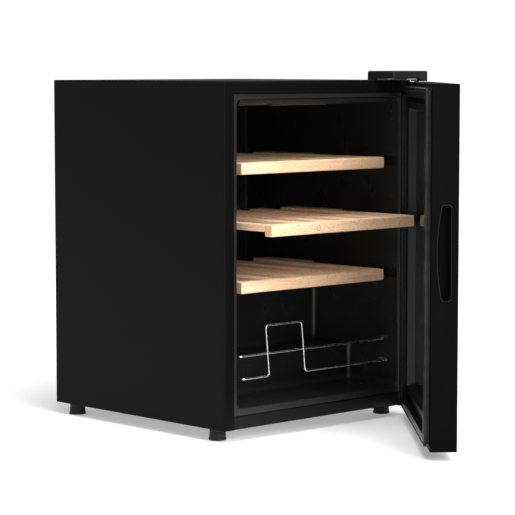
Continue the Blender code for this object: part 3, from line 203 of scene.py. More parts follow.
def painted_steel(name="black_paint", tone=0.0022, gloss=0.42, specular=0.055):
    """Powder-coated sheet: fine orange peel, faint smears in the gloss and a little dust in the colour."""
    finish = Finish(name, Specular_IOR_Level=specular)
    peel = finish.noise(1400, 2.0, 0.55)
    smears = finish.noise(14, 4.0, 0.6, distortion=0.6)
    dust = finish.noise(2600, 1.0).spread(0.62, 0.8)
    pale = tone * 1.8
    color = finish.blend(smears * 0.2 + dust * 0.3, (tone, tone, tone * 0.98), (pale, pale, pale))
    return finish.feed(Base_Color=color,
                       Roughness=gloss + smears.spread(0.3, 0.8, -0.015, 0.02) + peel * 0.04,
                       Normal=finish.bump(peel, 0.00006))


def moulded_plastic(name, tone, gloss, grain=1900, depth=0.00005, specular=0.4):
    """Spark-eroded moulding grain over a plain colour, with rubbed, slightly shinier patches."""
    finish = Finish(name, Specular_IOR_Level=specular)
    pits = finish.cells(grain)
    fine = finish.noise(grain * 1.7, 2.0)
    rubbed = finish.noise(22, 3.0, 0.6).spread(0.45, 0.75)
    color = finish.blend(rubbed * 0.5 + fine * 0.3, tone, tuple(min(1.0, part * 1.5) for part in tone))
    return finish.feed(Base_Color=color, Roughness=gloss - rubbed * 0.06 + fine * 0.06,
                       Normal=finish.bump(pits * 0.6 + fine * 0.4, depth))


def seal_rubber(name="gasket_rubber"):
    """Soft extrusion: faint lines along its length, a chalky bloom."""
    finish = Finish(name, Specular_IOR_Level=0.16)
    bloom = finish.noise(60, 4.0, 0.6)
    fine = finish.noise(3000, 2.0)
    color = finish.blend(bloom.spread(0.35, 0.75), (0.008, 0.0078, 0.0076), (0.016, 0.0155, 0.015))
    return finish.feed(Base_Color=color, Roughness=bloom * 0.1 + 0.22 + fine * 0.04,
                       Normal=finish.bump(fine, 0.00003))


def tread_rubber(name="foot_rubber"):
    finish = Finish(name, Specular_IOR_Level=0.3)
    fine = finish.noise(2400, 3.0, 0.7)
    scuffs = finish.noise(120, 3.0, 0.65).spread(0.5, 0.75)
    color = finish.blend(scuffs, (0.011, 0.011, 0.011), (0.03, 0.029, 0.028))
    return finish.feed(Base_Color=color, Roughness=scuffs * 0.15 + 0.6, Normal=finish.bump(fine, 0.00008))


def beech(name, along, warm=1.0):
    """Oiled beech: long growth figure, short dark rays and open pores along the board."""
    finish = Finish(name, Specular_IOR_Level=0.35, Coat_Weight=0.06, Coat_Roughness=0.35)

    def grained(long, short):
        return finish.stretched((long, short, short) if along == "X" else (short, long, short))

    def shade(red, green, blue):
        return (red * warm, green * warm, blue * warm)

    figure = finish.noise(1.0, 4.0, 0.6, grained(7.0, 95.0), 0.8)
    lines = finish.noise(1.0, 3.0, 0.6, grained(38.5, 522.5))
    flecks = finish.noise(1.0, 1.0, 0.5, grained(150.0, 800.0)).spread(0.57, 0.68)
    board = finish.noise(2.2, 1.0)
    base = finish.ramp(figure * 0.65 + lines * 0.35, (0.3, shade(0.76, 0.47, 0.27)),
                       (0.5, shade(0.9, 0.6, 0.375)), (0.68, shade(0.97, 0.71, 0.48)))
    tinted = finish.blend(board.spread(0.35, 0.7, 0.0, 0.3), base, shade(0.72, 0.44, 0.26))
    color = finish.blend(flecks * 0.62, tinted, (0.4, 0.2, 0.1))
    return finish.feed(Base_Color=color, Roughness=0.46 + lines * 0.14 + flecks * 0.1,
                       Normal=finish.bump(lines * 0.7 - flecks * 0.6, 0.00009))


def end_grain(name="beech_ends", tone=1.0):
    """Sawn end of a board: rings and pores seen head on, darker because it drinks the oil."""
    finish = Finish(name, Specular_IOR_Level=0.3)
    rings = finish.noise(1.0, 3.0, 0.6, finish.stretched((60, 60, 420)))
    pores = finish.cells(1700).spread(0.05, 0.3)
    dark = (0.5 * tone, 0.29 * tone, 0.15 * tone)
    light = (0.71 * tone, 0.46 * tone, 0.27 * tone)
    pore = (0.36 * tone, 0.19 * tone, 0.1 * tone)
    color = finish.blend(pores * 0.75 + 0.25, pore, finish.ramp(rings, (0.3, dark), (0.7, light)))
    return finish.feed(Base_Color=color, Roughness=rings * 0.1 + 0.6, Normal=finish.bump(pores, 0.00006))


def tinted_glass(name, clear, border):
    """Smoked pane: clear is how much shows through its middle; its printed border lets nothing through."""
    finish = Finish(name, IOR=1.5, Specular_IOR_Level=0.5, Coat_Weight=0.3, Coat_Roughness=0.02)
    smears = finish.noise(9, 5.0, 0.65, distortion=1.0)
    dust = finish.noise(1500, 1.0).spread(0.72, 0.82)
    color = finish.blend(dust * 0.3, (0.006, 0.006, 0.0062), (0.03, 0.03, 0.03))
    height = finish.part("Z")
    across = finish.part("X") * math.cos(DOOR_OPEN) + finish.part("Y") * math.sin(DOOR_OPEN)
    at_hinge = HINGE.x * math.cos(DOOR_OPEN) + HINGE.y * math.sin(DOOR_OPEN)
    centre = at_hinge + SHIFT.translation.x - HINGE.x
    middle = ((height > DOOR_LOW + border) * (height < DOOR_HIGH - border)
              * (across > centre - HALF + border) * (across < centre + HALF - border))
    return finish.feed(Base_Color=color, Roughness=smears.spread(0.4, 0.8, 0.02, 0.07) + dust * 0.1,
                       Alpha=1.0 - middle * clear)


def clear_lens(name="frosted_lens"):
    finish = Finish(name, Transmission_Weight=0.4)
    ribs = finish.node("ShaderNodeTexWave", {"bands_direction": "X"},
                       {"Vector": finish.place, "Scale": 160.0}, 1)
    frost = finish.noise(1800, 2.0)
    color = finish.blend(frost, (0.3, 0.31, 0.33), (0.42, 0.43, 0.45))
    return finish.feed(Base_Color=color, Roughness=frost * 0.2 + 0.25, Normal=finish.bump(ribs, 0.0002))


def bright_metal(name, color, roughness, lines, along=(3.0, 900.0, 900.0), depth=0.00002):
    """Plated or bare metal: drawn lines, a few stains, sharper and duller patches."""
    finish = Finish(name, Metallic=1.0)
    drawn = finish.noise(1.0, 3.0, 0.6, finish.stretched(along))
    stains = finish.noise(40, 4.0, 0.65)
    dull = tuple(part * 0.72 for part in color)
    return finish.feed(Base_Color=finish.blend(stains.spread(0.35, 0.8), color, dull),
                       Roughness=roughness + stains.spread(0.4, 0.8, 0.0, 0.12) + drawn * lines,
                       Normal=finish.bump(drawn, depth))


def galvanised_sheet(name="galvanised_sheet"):
    """Zinc spangle: flat crystals a few millimetres across, each with its own grey."""
    finish = Finish(name, Metallic=0.85)
    spangle = finish.cells(140, output="Color")
    grey = finish.node("ShaderNodeSeparateColor", None, [spangle], 0)
    haze = finish.noise(30, 3.0)
    color = finish.blend(grey * 0.6 + haze * 0.4, (0.3, 0.31, 0.32), (0.52, 0.53, 0.54))
    return finish.feed(Base_Color=color, Roughness=grey * 0.16 + 0.34, Normal=finish.bump(grey, 0.00003))


def raw_foam(name="raw_foam"):
    finish = Finish(name)
    bubbles = finish.cells(520)
    tone = finish.noise(12, 3.0)
    color = finish.blend(tone, (0.62, 0.5, 0.27), (0.78, 0.68, 0.44))
    return finish.feed(Base_Color=color, Roughness=tone * 0.1 + 0.85, Normal=finish.bump(bubbles, 0.0006))


BLACK_PAINT = painted_steel()
# The sill's paint is a lighter copy of the black paint: its lighter colour is a painted reflection of the
# floor.
SILL_PAINT_PAINTED_REFLECTION = painted_steel("sill_paint", 0.005, 0.4, 0.12)
SHELL_PAINT = painted_steel("compressor_paint", 0.012, 0.3, 0.4)
LINER = moulded_plastic("liner_plastic", (0.0125, 0.012, 0.0117), 0.28, 1500, 0.00003, 0.42)
TRIM_PLASTIC = moulded_plastic("trim_plastic", (0.006, 0.006, 0.006), 0.3, depth=0.00003, specular=0.22)
DOOR_PLASTIC = moulded_plastic("door_plastic", (0.0013, 0.0013, 0.0013), 0.46, depth=0.00003, specular=0.025)
COVER_PLASTIC = moulded_plastic("hinge_cover_plastic", (0.006, 0.006, 0.006), 0.34, 2400, 0.00003, 0.14)
GRIP_PLASTIC = moulded_plastic("grip_plastic", (0.003, 0.003, 0.003), 0.26, 2600, 0.00002, 0.16)
FAN_PLASTIC = moulded_plastic("fan_plastic", (0.02, 0.02, 0.021), 0.4)
SEAL = seal_rubber()
FOOT_RUBBER = tread_rubber()
BEECH_ACROSS = beech("beech_across", "X")
BEECH_DEEP = beech("beech_deep", "Y", 0.86)
BEECH_ENDS = end_grain()
BEECH_JOINT = end_grain("beech_joint", 0.25)
FRONT_GLASS = tinted_glass("front_glass_smoked", 0.3, GLASS_BORDER)
INNER_GLASS = tinted_glass("inner_glass_smoked", 0.16, 0.0)
DISPLAY_GLASS = tinted_glass("display_glass", 0.0, 0.0)
LENS = clear_lens()
CHROME = bright_metal("chromed_wire", (0.78, 0.77, 0.76), 0.2, 0.08, (500.0, 500.0, 500.0))
ZINC = bright_metal("zinc_plate", (0.66, 0.65, 0.62), 0.26, 0.12, (40.0, 1100.0, 1100.0))
COPPER = bright_metal("copper_tube", (0.74, 0.36, 0.2), 0.24, 0.12, (700.0, 700.0, 700.0))
ALUMINIUM = bright_metal("mill_aluminium", (0.72, 0.73, 0.74), 0.3, 0.15)
SPACER_METAL = bright_metal("dark_spacer", (0.1, 0.1, 0.1), 0.4, 0.1)
GALVANISED = galvanised_sheet()
FOAM = raw_foam()


# ---- mesh building -------------------------------------------------------------------------------
def add_object(name, data):
    made = bpy.data.objects.new(name, data)
    bpy.context.scene.collection.objects.link(made)
    return made


def block_mesh(lo, hi):
    """A box from its two corners."""
    lo = Vector(lo)
    hi = Vector(hi)
    bm = bmesh.new()
    matrix = Matrix.Translation((lo + hi) / 2) @ Matrix.Diagonal((*(hi - lo), 1.0))
    bmesh.ops.create_cube(bm, size=1.0, matrix=matrix)
    return bm


def soften(bm, edges, width, segments=2):
    if edges:
        bmesh.ops.bevel(bm, geom=edges, offset=width, segments=segments, profile=0.5, affect="EDGES",
                        material=-1, clamp_overlap=True)


def along(edge, axis):
    """Whether an edge runs along an axis (0, 1 or 2)."""
    step = edge.verts[1].co - edge.verts[0].co
    return abs(step[axis]) > 0.999 * step.length


def on(value, level):
    return abs(value - level) < NEAR


def edges_at(bm, **where):
    """Edges whose ends both lie at the given coordinates, such as x=0.23."""
    return [edge for edge in bm.edges
            if all(on(getattr(vert.co, axis), level) for axis, level in where.items() for vert in edge.verts)]


def creases(bm, test=lambda co: True, angle=CREASE):
    """Edges whose two faces meet at more than an angle, and whose ends both pass a test of their place."""
    return [edge for edge in bm.edges
            if edge.calc_face_angle(0) > angle and all(test(vert.co) for vert in edge.verts)]


def verts_of(geometry):
    return [item for item in geometry if isinstance(item, bmesh.types.BMVert)]


def slice_plane(bm, point, normal, faces=None):
    faces = faces if faces is not None else bm.faces[:]
    geometry = set(faces)
    for face in faces:
        geometry.update(face.edges)
        geometry.update(face.verts)
    bmesh.ops.bisect_plane(bm, geom=list(geometry), dist=1e-6, plane_co=point, plane_no=normal)


def remove_faces(bm, test):
    bmesh.ops.delete(bm, geom=[face for face in bm.faces if test(face)], context="FACES")


def piece(name, bm, material, body, replaces=(), sharp=35, extra=(), sheet=0.0):
    """A finished piece: its mesh is moved to where its body stands, and it rides on that body.

    A sheet thickness makes a wall inwards from the modelled outside.
    """
    bmesh.ops.transform(bm, matrix=PLACES[body], verts=bm.verts)
    mesh = bpy.data.meshes.new(name)
    bm.edges.index_update()
    open_edges = [edge.index for edge in bm.edges if edge.is_boundary]
    bm.to_mesh(mesh)
    bm.free()
    for item in (material, *extra):
        mesh.materials.append(item)
    mesh.shade_smooth()
    mesh.set_sharp_from_angle(angle=math.radians(sharp))
    for index in open_edges:
        mesh.edges[index].use_edge_sharp = True
    made = add_object(name, mesh)
    if sheet:
        shell = made.modifiers.new("sheet", "SOLIDIFY")
        shell.thickness = sheet
        shell.offset = -1.0
        shell.use_even_offset = True
    flats = made.modifiers.new("flats", "WEIGHTED_NORMAL")
    flats.keep_sharp = True
    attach(made, body)
    if replaces:
        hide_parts(*replaces)


def frame_copy(node, body):
    """A welded copy of a CAD node in cabinet coordinates, with its flat faces made whole."""
    bm = bmesh.new()
    bm.from_mesh(frame["nodes"][node].data)
    bmesh.ops.transform(bm, matrix=PLACES[body].inverted(), verts=bm.verts)
    bmesh.ops.remove_doubles(bm, verts=bm.verts, dist=1e-5)
    bmesh.ops.dissolve_limit(bm, angle_limit=math.radians(0.6), verts=bm.verts, edges=bm.edges)
    return bm


def rectangle(bm, span, y, radius, segments=5):
    """One upright face at depth y, facing the back, with rounded corners; span is (x0, z0, x1, z1)."""
    x0, z0, x1, z1 = span
    corners = [bm.verts.new(at) for at in ((x0, y, z0), (x0, y, z1), (x1, y, z1), (x1, y, z0))]
    bm.faces.new(corners).normal_update()
    if radius:
        bmesh.ops.bevel(bm, geom=corners, offset=radius, segments=segments, profile=0.5, affect="VERTICES",
                        material=-1)
    return max(bm.faces, key=lambda item: item.calc_area())


def ring_mesh(bm, span, width, y0, y1, radius, round_off=0.0):
    """A closed upright frame of a width between two depths, with its long edges rounded off."""
    part = bmesh.new()
    face = rectangle(part, span, y0, radius)
    bmesh.ops.inset_region(part, faces=[face], thickness=width, depth=0.0, use_even_offset=True,
                           use_boundary=True)
    bmesh.ops.delete(part, geom=[face], context="FACES")
    made = bmesh.ops.extrude_face_region(part, geom=part.faces[:])["geom"]
    bmesh.ops.translate(part, vec=(0, y1 - y0, 0), verts=verts_of(made))
    bmesh.ops.recalc_face_normals(part, faces=part.faces)
    if round_off:
        soften(part, [edge for edge in creases(part) if not along(edge, 1)], round_off, 3)
    mesh = bpy.data.meshes.new("part")
    part.to_mesh(mesh)
    part.free()
    bm.from_mesh(mesh)
    bpy.data.meshes.remove(mesh)


def shrink(span, by):
    x0, z0, x1, z1 = span
    return (x0 + by, z0 + by, x1 - by, z1 - by)


def turned(bm, profile, at, steps=32):
    """A turned shape: the (radius, height) profile spun around an upright axis at a place."""
    at = Vector(at)
    verts = [bm.verts.new(at + Vector((radius, 0, height))) for radius, height in profile]
    edges = [bm.edges.new(pair) for pair in zip(verts, verts[1:])]
    bmesh.ops.spin(bm, geom=verts + edges, cent=at, axis=(0, 0, 1), angle=2 * math.pi, steps=steps,
                   use_merge=True)
    bmesh.ops.remove_doubles(bm, verts=bm.verts, dist=2e-6)
    bmesh.ops.recalc_face_normals(bm, faces=bm.faces)


# ---- cabinet -------------------------------------------------------------------------------------
def cabinet_wrap():
    """Folded sheet with rounded bends, mitred top corners at the front and a short return round the mouth."""
    inner = HALF - STILE
    side_bend = 2.2 * MM
    top_bend = 2.0 * MM
    mitre_gap = 0.5 * MM
    mitre_depth = 0.8 * MM
    mouth_return = 3 * MM
    loose = 0.1 * MM
    bm = block_mesh((-HALF, 0, BASE), (HALF, DEPTH, TOP))
    remove_faces(bm, lambda face: face.normal.y > 0.9 or face.normal.z < -0.9)
    for point, normal in (((-inner, 0, 0), (1, 0, 0)), ((inner, 0, 0), (1, 0, 0)),
                          ((0, 0, TOP - STILE), (0, 0, 1)),
                          ((-HALF, 0, TOP), (1, 0, 1)), ((HALF, 0, TOP), (-1, 0, 1))):
        slice_plane(bm, point, normal, [face for face in bm.faces if face.normal.y < -0.9])
    remove_faces(bm, lambda face: face.normal.y < -0.9 and abs(face.calc_center_median().x) < inner
                 and face.calc_center_median().z < TOP - STILE)
    front_edges = edges_at(bm, x=-HALF, y=0) + edges_at(bm, x=HALF, y=0) + edges_at(bm, y=0, z=TOP)
    soften(bm, front_edges, side_bend, 4)
    soften(bm, [edge for edge in edges_at(bm, z=TOP) if on(abs(edge.verts[0].co.x), HALF) and along(edge, 1)],
           top_bend, 3)

    def is_mitre(edge):
        step = edge.verts[0].co - edge.verts[1].co
        return abs(step.x) > 5 * MM and on(abs(step.x), abs(step.z))

    mitres = [edge for edge in edges_at(bm, y=0) if is_mitre(edge)]
    ends = [(vert.co.x, vert.co.z) for edge in mitres for vert in edge.verts]
    soften(bm, mitres, mitre_gap, 2)
    for vert in bm.verts:
        if on(vert.co.y, 0) and any(on(vert.co.x, x) and on(vert.co.z, z) for x, z in ends):
            vert.co.y += mitre_depth
    mouth = [edge for edge in bm.edges if edge.is_boundary
             and all(vert.co.y < MM and abs(vert.co.x) < inner + loose for vert in edge.verts)
             and not all(vert.co.z < BASE + loose for vert in edge.verts)]
    made = bmesh.ops.extrude_edge_only(bm, edges=mouth)["geom"]
    bmesh.ops.translate(bm, vec=(0, mouth_return, 0), verts=verts_of(made))
    bmesh.ops.recalc_face_normals(bm, faces=bm.faces)
    piece("wrap_sheet", bm, BLACK_PAINT, "cabinet", ("cabinet_wrap",), 40, sheet=SHEET)


def front_sill():
    """Folded strip under the mouth; its upper return is shorter than its lower one."""
    gap = 0.4 * MM
    lower_return = 14 * MM
    upper_return = 4.5 * MM
    inner = HALF - STILE - gap
    bm = block_mesh((-inner, 0, BASE), (inner, lower_return, BASE + SILL_HEIGHT - gap))
    remove_faces(bm, lambda face: face.normal.y > 0.9 or abs(face.normal.x) > 0.9)
    soften(bm, edges_at(bm, y=0), 1.6 * MM, 3)
    for vert in bm.verts:
        if vert.co.z > BASE + SILL_HEIGHT / 2 and vert.co.y > lower_return / 2:
            vert.co.y = upper_return
    # The sill wears the lighter copy of the black paint, whose colour is a painted floor reflection.
    piece("sill_sheet", bm, SILL_PAINT_PAINTED_REFLECTION, "cabinet", ("front_sill",), 40, sheet=SHEET)


def inner_liner():
    """Moulded tub with its groove mouths and lip softened."""
    lip_front = 1.5 * MM

    def at_groove(co):
        return (on(abs(co.x), CAVITY_HALF) and 4 * MM < co.y < 360 * MM
                and BASE + 220 * MM < co.z < BASE + 470 * MM)

    bm = frame_copy("inner_liner", "cabinet")
    soften(bm, creases(bm, at_groove), 1.0 * MM, 2)
    soften(bm, creases(bm, lambda co: on(co.y, lip_front)), 0.9 * MM, 3)
    piece("liner_tub", bm, LINER, "cabinet", ("inner_liner",), 38)


# ---- door ----------------------------------------------------------------------------------------
def door_frame():
    def at_outside(co):
        return ((on(abs(co.x), HALF) or on(co.z, DOOR_LOW) or on(co.z, DOOR_HIGH))
                and (on(co.y, DOOR_BACK) or on(co.y, DOOR_FRONT)))

    bm = frame_copy("door_frame", "door")
    soften(bm, [edge for edge in creases(bm, at_outside)
                if edge.calc_length() > 8 * MM and not along(edge, 1)], 1.0 * MM, 3)
    piece("door_surround", bm, DOOR_PLASTIC, "door", ("door_frame",), 38)


def door_gasket():
    """Bellows seal: a foot clipped into the frame, a narrow neck, and the bulb with its grooved face."""
    margin = 7 * MM
    hinge_margin = 12 * MM
    corner = 7 * MM
    ridge_round = 1.1 * MM
    outer = (-HALF + margin, DOOR_LOW + margin, HALF - hinge_margin, DOOR_HIGH - margin)
    foot = DOOR_BACK + 0.3 * MM
    bm = bmesh.new()
    ring_mesh(bm, outer, 18 * MM, foot, foot + 1.8 * MM, corner, 0.6 * MM)
    ring_mesh(bm, shrink(outer, 3.2 * MM), 11.6 * MM, foot + 1.2 * MM, foot + 5.4 * MM, 5 * MM)
    ring_mesh(bm, shrink(outer, 0.3 * MM), 17.4 * MM, foot + 4.6 * MM, foot + 7.2 * MM, corner, ridge_round)
    for inset, width, front in ((0.4, 4.0, -0.5), (5.6, 6.8, -0.9), (13.6, 4.0, -0.5)):
        ring_mesh(bm, shrink(outer, inset * MM), width * MM, foot + 5.8 * MM, front * MM,
                  corner - inset * 0.3 * MM, ridge_round)
    piece("bellows_seal", bm, SEAL, "door", ("door_gasket",), 45)


def door_panes():
    for name, node, finish in (("front_pane", "door_front_glass", FRONT_GLASS),
                               ("inner_pane", "door_inner_glass", INNER_GLASS)):
        bm = frame_copy(node, "door")
        soften(bm, bm.edges[:], 0.5 * MM, 1)
        piece(name, bm, finish, "door", (node,), 20)


def door_trim():
    bm = frame_copy("door_inner_frame", "door")
    soften(bm, creases(bm, lambda co: on(co.y, DOOR_BACK), 0.9), 0.6 * MM, 2)
    piece("pane_trim", bm, TRIM_PLASTIC, "door", ("door_inner_frame",), 38)


def grip_cup():
    """Finger recess; its rim, flush with the door's edge, is glossier than its inside."""
    rim_depth = 0.7 * MM
    bm = frame_copy("grip_cup", "door")
    soften(bm, creases(bm, lambda co: on(co.x, -HALF)), 0.55 * MM, 2)
    for face in bm.faces:
        face.material_index = 1 if face.calc_center_median().x < -HALF + rim_depth else 0
    piece("grip_lining", bm, DOOR_PLASTIC, "door", ("grip_cup",), 40, (GRIP_PLASTIC,))


# ---- hinges --------------------------------------------------------------------------------------
def hinge_cover():
    """Cap over the top hinge: softly rounded top edge, a skirt on the cabinet and a boss round the pin."""
    boss = HALF - 23 * MM
    over_plate = TOP + 3.1 * MM
    over_cabinet = TOP + 0.3 * MM
    skirt_front = 0.3 * MM
    boss_back = -2 * MM
    lo, hi = (SHIFT.inverted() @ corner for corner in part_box("top_hinge_cover"))
    bm = block_mesh(lo, hi)
    soften(bm, [edge for edge in bm.edges if along(edge, 2)], 4 * MM, 6)
    soften(bm, edges_at(bm, z=hi.z), 3.4 * MM, 6)
    remove_faces(bm, lambda face: face.normal.z < -0.9)
    for point, normal in (((0, 0, over_plate), (0, 0, 1)), ((0, 0, over_cabinet), (0, 0, 1)),
                          ((boss, 0, 0), (1, 0, 0)),
                          ((0, skirt_front, 0), (0, 1, 0)), ((0, boss_back, 0), (0, 1, 0))):
        slice_plane(bm, point, normal)

    def cut_away(face):
        at = face.calc_center_median()
        return ((at.z < over_plate and at.x < boss and at.y < skirt_front)
                or (at.z < over_cabinet and at.y > boss_back))

    remove_faces(bm, cut_away)
    piece("hinge_cap", bm, COVER_PLASTIC, "cabinet", ("top_hinge_cover",), 40, sheet=2 * MM)


# ---- bottle guard --------------------------------------------------------------------------------
def guard_wires():
    for name in ("bottle_guard_lower_wire", "bottle_guard_upper_wire"):
        bm = frame_copy(name, "cabinet")
        piece(name.replace("bottle_guard", "guard"), bm, CHROME, "cabinet", (name,), 60)


# ---- shelves -------------------------------------------------------------------------------------
def shelves():
    for level in ("bottom", "middle", "top"):
        body = level + "_shelf"
        for part, finish, width in (("front_bar", BEECH_ACROSS, 2.2), ("left_rail", BEECH_DEEP, 1.2),
                                    ("right_rail", BEECH_DEEP, 1.2), ("slats", BEECH_DEEP, 1.2)):
            node = f"{body}_{part}"
            if part == "front_bar":
                lo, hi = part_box(node)
                back = PLACES[body].inverted()
                bm = block_mesh(back @ lo, back @ hi)
                soften(bm, bm.edges[:], width * MM, 4)
            else:
                bm = frame_copy(node, body)
                soften(bm, creases(bm), width * MM, 2)
            for face in bm.faces:
                ends = abs(face.normal.x) > 0.8 if part == "front_bar" else abs(face.normal.y) > 0.8
                face.material_index = 1 if ends else 0
            piece(f"{level}_{part}_beech", bm, finish, body, (node,), 30, (BEECH_ENDS,))


def shelf_plug():
    """Round wooden plug that covers the middle bar's screw, with its joint line."""
    across = -66 * MM
    lo, hi = (PLACES["middle_shelf"].inverted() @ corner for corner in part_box("middle_shelf_front_bar"))
    at = Vector((across, lo.y, (lo.z + hi.z) / 2))
    for name, radius, proud, finish in (("plug_joint", 5.0, 0.12, BEECH_JOINT),
                                        ("plug_face", 4.3, 0.24, BEECH_ACROSS)):
        bm = bmesh.new()
        matrix = Matrix.Translation(at) @ Matrix.Rotation(math.pi / 2, 4, "X")
        bmesh.ops.create_cone(bm, cap_ends=True, segments=40, radius1=radius * MM, radius2=radius * MM,
                              depth=2 * proud * MM, matrix=matrix)
        soften(bm, creases(bm), 0.1 * MM, 1)
        piece(name, bm, finish, "middle_shelf", (), 30)


# ---- feet ----------------------------------------------------------------------------------------
FOOT_PROFILE = ((0.0, 21.6), (12.6, 21.6), (13.4, 20.8), (13.9, 15.2), (13.3, 14.6), (13.3, 13.4),
                (14.1, 12.8), (14.6, 7.4), (14.0, 6.8), (14.0, 5.6), (14.8, 5.0), (15.4, 1.2), (14.6, 0.15),
                (11.0, 0.0), (0.0, 0.0))  # radius and height in mm, from the top
STUD_RADIUS = 4.0 * MM
STUD_CHAMFER = 0.6 * MM
STUD_FROM = 20 * MM


def feet():
    """Tapered rubber feet with a turned-in sole and two grip grooves; the front ones stand on studs."""
    for label in ("front_left", "front_right", "rear_left", "rear_right"):
        node = "foot_" + label
        lo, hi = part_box(node)
        body = f"{label}_foot" if label.startswith("front") else "cabinet"
        at = PLACES[body].inverted() @ Vector(((lo.x + hi.x) / 2, (lo.y + hi.y) / 2, 0))
        bm = bmesh.new()
        turned(bm, [(radius * MM, height * MM) for radius, height in FOOT_PROFILE], at)
        if body != "cabinet":
            stud = [(0.0, hi.z), (STUD_RADIUS - STUD_CHAMFER, hi.z), (STUD_RADIUS, hi.z - 0.8 * MM),
                    (STUD_RADIUS, STUD_FROM), (0.0, STUD_FROM)]
            turned(bm, stud, at, 20)
        piece(node + "_rubber", bm, FOOT_RUBBER, body, (node,), 40)


# ---- back and machine room -----------------------------------------------------------------------
def rear_screws():
    """Pan-head screws with a round recess that hold the rear panel and the machine room's cover."""
    side = HALF - 9 * MM
    middle = 90 * MM
    head_height = 1.2 * MM
    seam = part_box("machine_room_cover")[1].z
    places = [(x, z) for x in (-side, side)
              for z in (BASE + 14 * MM, seam - 12 * MM, seam + 12 * MM, (seam + TOP) / 2, TOP - 12 * MM)]
    places += [(x, z) for x in (-middle, middle) for z in (seam - 6 * MM, seam + 9 * MM, TOP - 9 * MM)]
    back = (SHIFT.inverted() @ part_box("rear_panel")[1]).y
    bm = bmesh.new()
    for x, z in places:
        matrix = Matrix.Translation((x, back + head_height / 2, z)) @ Matrix.Rotation(-math.pi / 2, 4, "X")
        made = bmesh.ops.create_cone(bm, cap_ends=True, segments=20, radius1=3.6 * MM, radius2=2.7 * MM,
                                     depth=head_height, matrix=matrix)["verts"]
        cap = next(face for vert in made for face in vert.link_faces
                   if len(face.verts) > 8 and face.normal.y > 0.9)
        bmesh.ops.inset_individual(bm, faces=[cap], thickness=1.4 * MM, depth=0.0)
        bmesh.ops.inset_individual(bm, faces=[cap], thickness=0.1 * MM, depth=-0.7 * MM)
    piece("rear_panel_screws", bm, ZINC, "cabinet", (), 30)


# ---- pieces that keep the CAD's shape, with their edges broken ------------------------------------
def kept_shapes():
    """Each entry: node, finish, slot, width of the broken edge in mm."""
    entries = (
        ("rear_panel", GALVANISED, "galvanised_steel", 0.3),
        ("compressor_deck", GALVANISED, "galvanised_steel", 0.4),
        ("compressor_feet", GALVANISED, "galvanised_steel", 0.3),
        ("base_pan", GALVANISED, "galvanised_steel", 0.0),
        ("machine_room_cover", BLACK_PAINT, "black_painted_steel", 0.25),
        ("compressor", SHELL_PAINT, "black_painted_steel", 0.0),
        ("air_duct_panel", LINER, "liner_plastic", 0.5),
        ("control_housing", LINER, "liner_plastic", 0.5), ("light_lens", LENS, "clear_plastic", 0.3),
        ("touch_window", DISPLAY_GLASS, "dark_glass", 0.2), ("evaporator_plate", ALUMINIUM, "aluminium", 0.3),
        ("condenser_coil", COPPER, "copper", 0.0), ("suction_pipe", COPPER, "copper", 0.0),
        ("discharge_pipe", COPPER, "copper", 0.0), ("drain_tube", FAN_PLASTIC, "black_plastic", 0.3),
        ("drain_tray", FAN_PLASTIC, "black_plastic", 0.5),
        ("control_board_box", FAN_PLASTIC, "black_plastic", 0.5),
        ("power_inlet", COVER_PLASTIC, "black_plastic", 0.3),
        ("duct_fan_frame", FAN_PLASTIC, "black_plastic", 0.0),
        ("duct_fan_rotor", FAN_PLASTIC, "black_plastic", 0.0),
        ("condenser_fan_frame", FAN_PLASTIC, "black_plastic", 0.0),
        ("condenser_fan_rotor", FAN_PLASTIC, "black_plastic", 0.0),
        ("door_top_bush", GRIP_PLASTIC, "black_plastic", 0.3),
        ("door_bottom_bush", GRIP_PLASTIC, "black_plastic", 0.3),
        ("top_hinge_plate", ZINC, "zinc_steel", 0.3), ("bottom_hinge_plate", BLACK_PAINT, "zinc_steel", 0.3),
        ("top_hinge_screw_1", ZINC, "zinc_steel", 0.3), ("top_hinge_screw_2", ZINC, "zinc_steel", 0.3),
        ("bottom_hinge_screw_1", ZINC, "zinc_steel", 0.3), ("bottom_hinge_screw_2", ZINC, "zinc_steel", 0.3),
    )
    for node, finish, slot, width in entries:
        body = "cabinet"
        if node.startswith("door_"):
            body = "door"
        elif node.endswith("_rotor"):
            body = node.replace("_rotor", "")
        bm = frame_copy(node, body)
        if width:
            soften(bm, creases(bm, angle=0.8), width * MM, 2)
        piece(node + "_finished", bm, finish, body, (node,), 40)


def dress_nodes():
    """Materials for the two nodes that no piece replaces."""
    for name, finish in {"insulation_foam": FOAM, "glass_spacer": SPACER_METAL}.items():
        node = frame["nodes"][name]
        node.data.materials.clear()
        node.data.materials.append(finish)


# ---- stage ---------------------------------------------------------------------------------------
def look_at(obj, target):
    obj.rotation_euler = (Vector(target) - obj.location).to_track_quat("-Z", "Y").to_euler()


def soft_light(name, at, target, size, power):
    data = bpy.data.lights.new(name, "AREA")
    data.shape = "RECTANGLE"
    data.size, data.size_y = size
    data.energy = power
    lamp = add_object(name, data)
    lamp.location = at
    look_at(lamp, target)


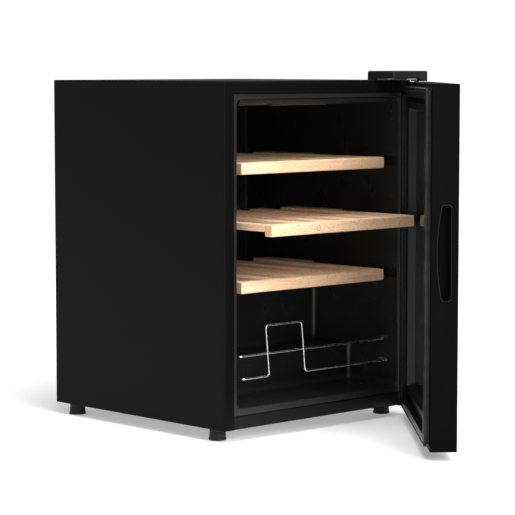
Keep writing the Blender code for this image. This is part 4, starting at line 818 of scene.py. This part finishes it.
def studio_floor():
    """Pale floor whose own glow grows with the distance, so that it fades into the backdrop."""
    floor_finish = Finish("studio_floor", Roughness=0.8, Specular_IOR_Level=0.0, Emission_Strength=1.0)
    mottle = floor_finish.noise(3, 3.0)
    white = floor_finish.blend(mottle, (0.9, 0.9, 0.9), (0.94, 0.94, 0.94))
    reach = floor_finish.node("ShaderNodeVectorMath", {"operation": "LENGTH"}, [floor_finish.place], 1)
    glow = floor_finish.blend(reach.spread(0.3, 2.5), (0.26, 0.26, 0.26), (0.72, 0.72, 0.72))
    floor_finish.feed(Base_Color=white, Emission_Color=glow)
    bm = bmesh.new()
    bmesh.ops.create_grid(bm, x_segments=2, y_segments=2, size=90.0)
    mesh = bpy.data.meshes.new("studio_floor")
    bm.to_mesh(mesh)
    bm.free()
    mesh.materials.append(floor_finish.material)
    floor = add_object("studio_floor", mesh)


def studio_world():
    """White backdrop that lights the object less than it shows."""
    world = bpy.data.worlds.new("studio")
    world.use_nodes = True
    tree = world.node_tree
    sky = tree.nodes["Background"]
    sky.inputs["Color"].default_value = (1.0, 1.0, 1.0, 1.0)
    seen = tree.nodes.new("ShaderNodeLightPath")
    strength = tree.nodes.new("ShaderNodeMapRange")
    strength.inputs["To Min"].default_value = 0.38
    strength.inputs["To Max"].default_value = 1.1
    tree.links.new(seen.outputs["Is Camera Ray"], strength.inputs["Value"])
    tree.links.new(strength.outputs["Result"], sky.inputs["Strength"])
    bpy.context.scene.world = world


def stage():
    studio_floor()
    studio_world()
    soft_light("top_softbox", (-0.2, -0.9, 2.6), (0, 0.0, 0.3), (2.6, 2.2), 95)
    soft_light("front_softbox", (-0.5, -3.0, 1.5), (0, 0, 0.35), (2.2, 1.6), 95)
    bpy.context.scene.view_settings.view_transform = "Standard"


CAMERA_AT = Vector((-2.6543, -2.6181, 0.639))
CAMERA_DOWN = math.radians(5.147)
CAMERA_TURN = math.radians(43.689)


def camera():
    data = bpy.data.cameras.new("studio_camera")
    data.sensor_width = 36.0
    data.lens = 149.44
    data.clip_end = 200.0
    shot = add_object("studio_camera", data)
    shot.location = SHIFT @ CAMERA_AT
    shot.rotation_euler = (math.pi / 2 - CAMERA_DOWN, 0, -CAMERA_TURN)
    bpy.context.scene.camera = shot


cabinet_wrap()
front_sill()
inner_liner()
door_frame()
door_gasket()
door_panes()
door_trim()
grip_cup()
hinge_cover()
guard_wires()
shelves()
shelf_plug()
feet()
rear_screws()
kept_shapes()
dress_nodes()
stage()
camera()
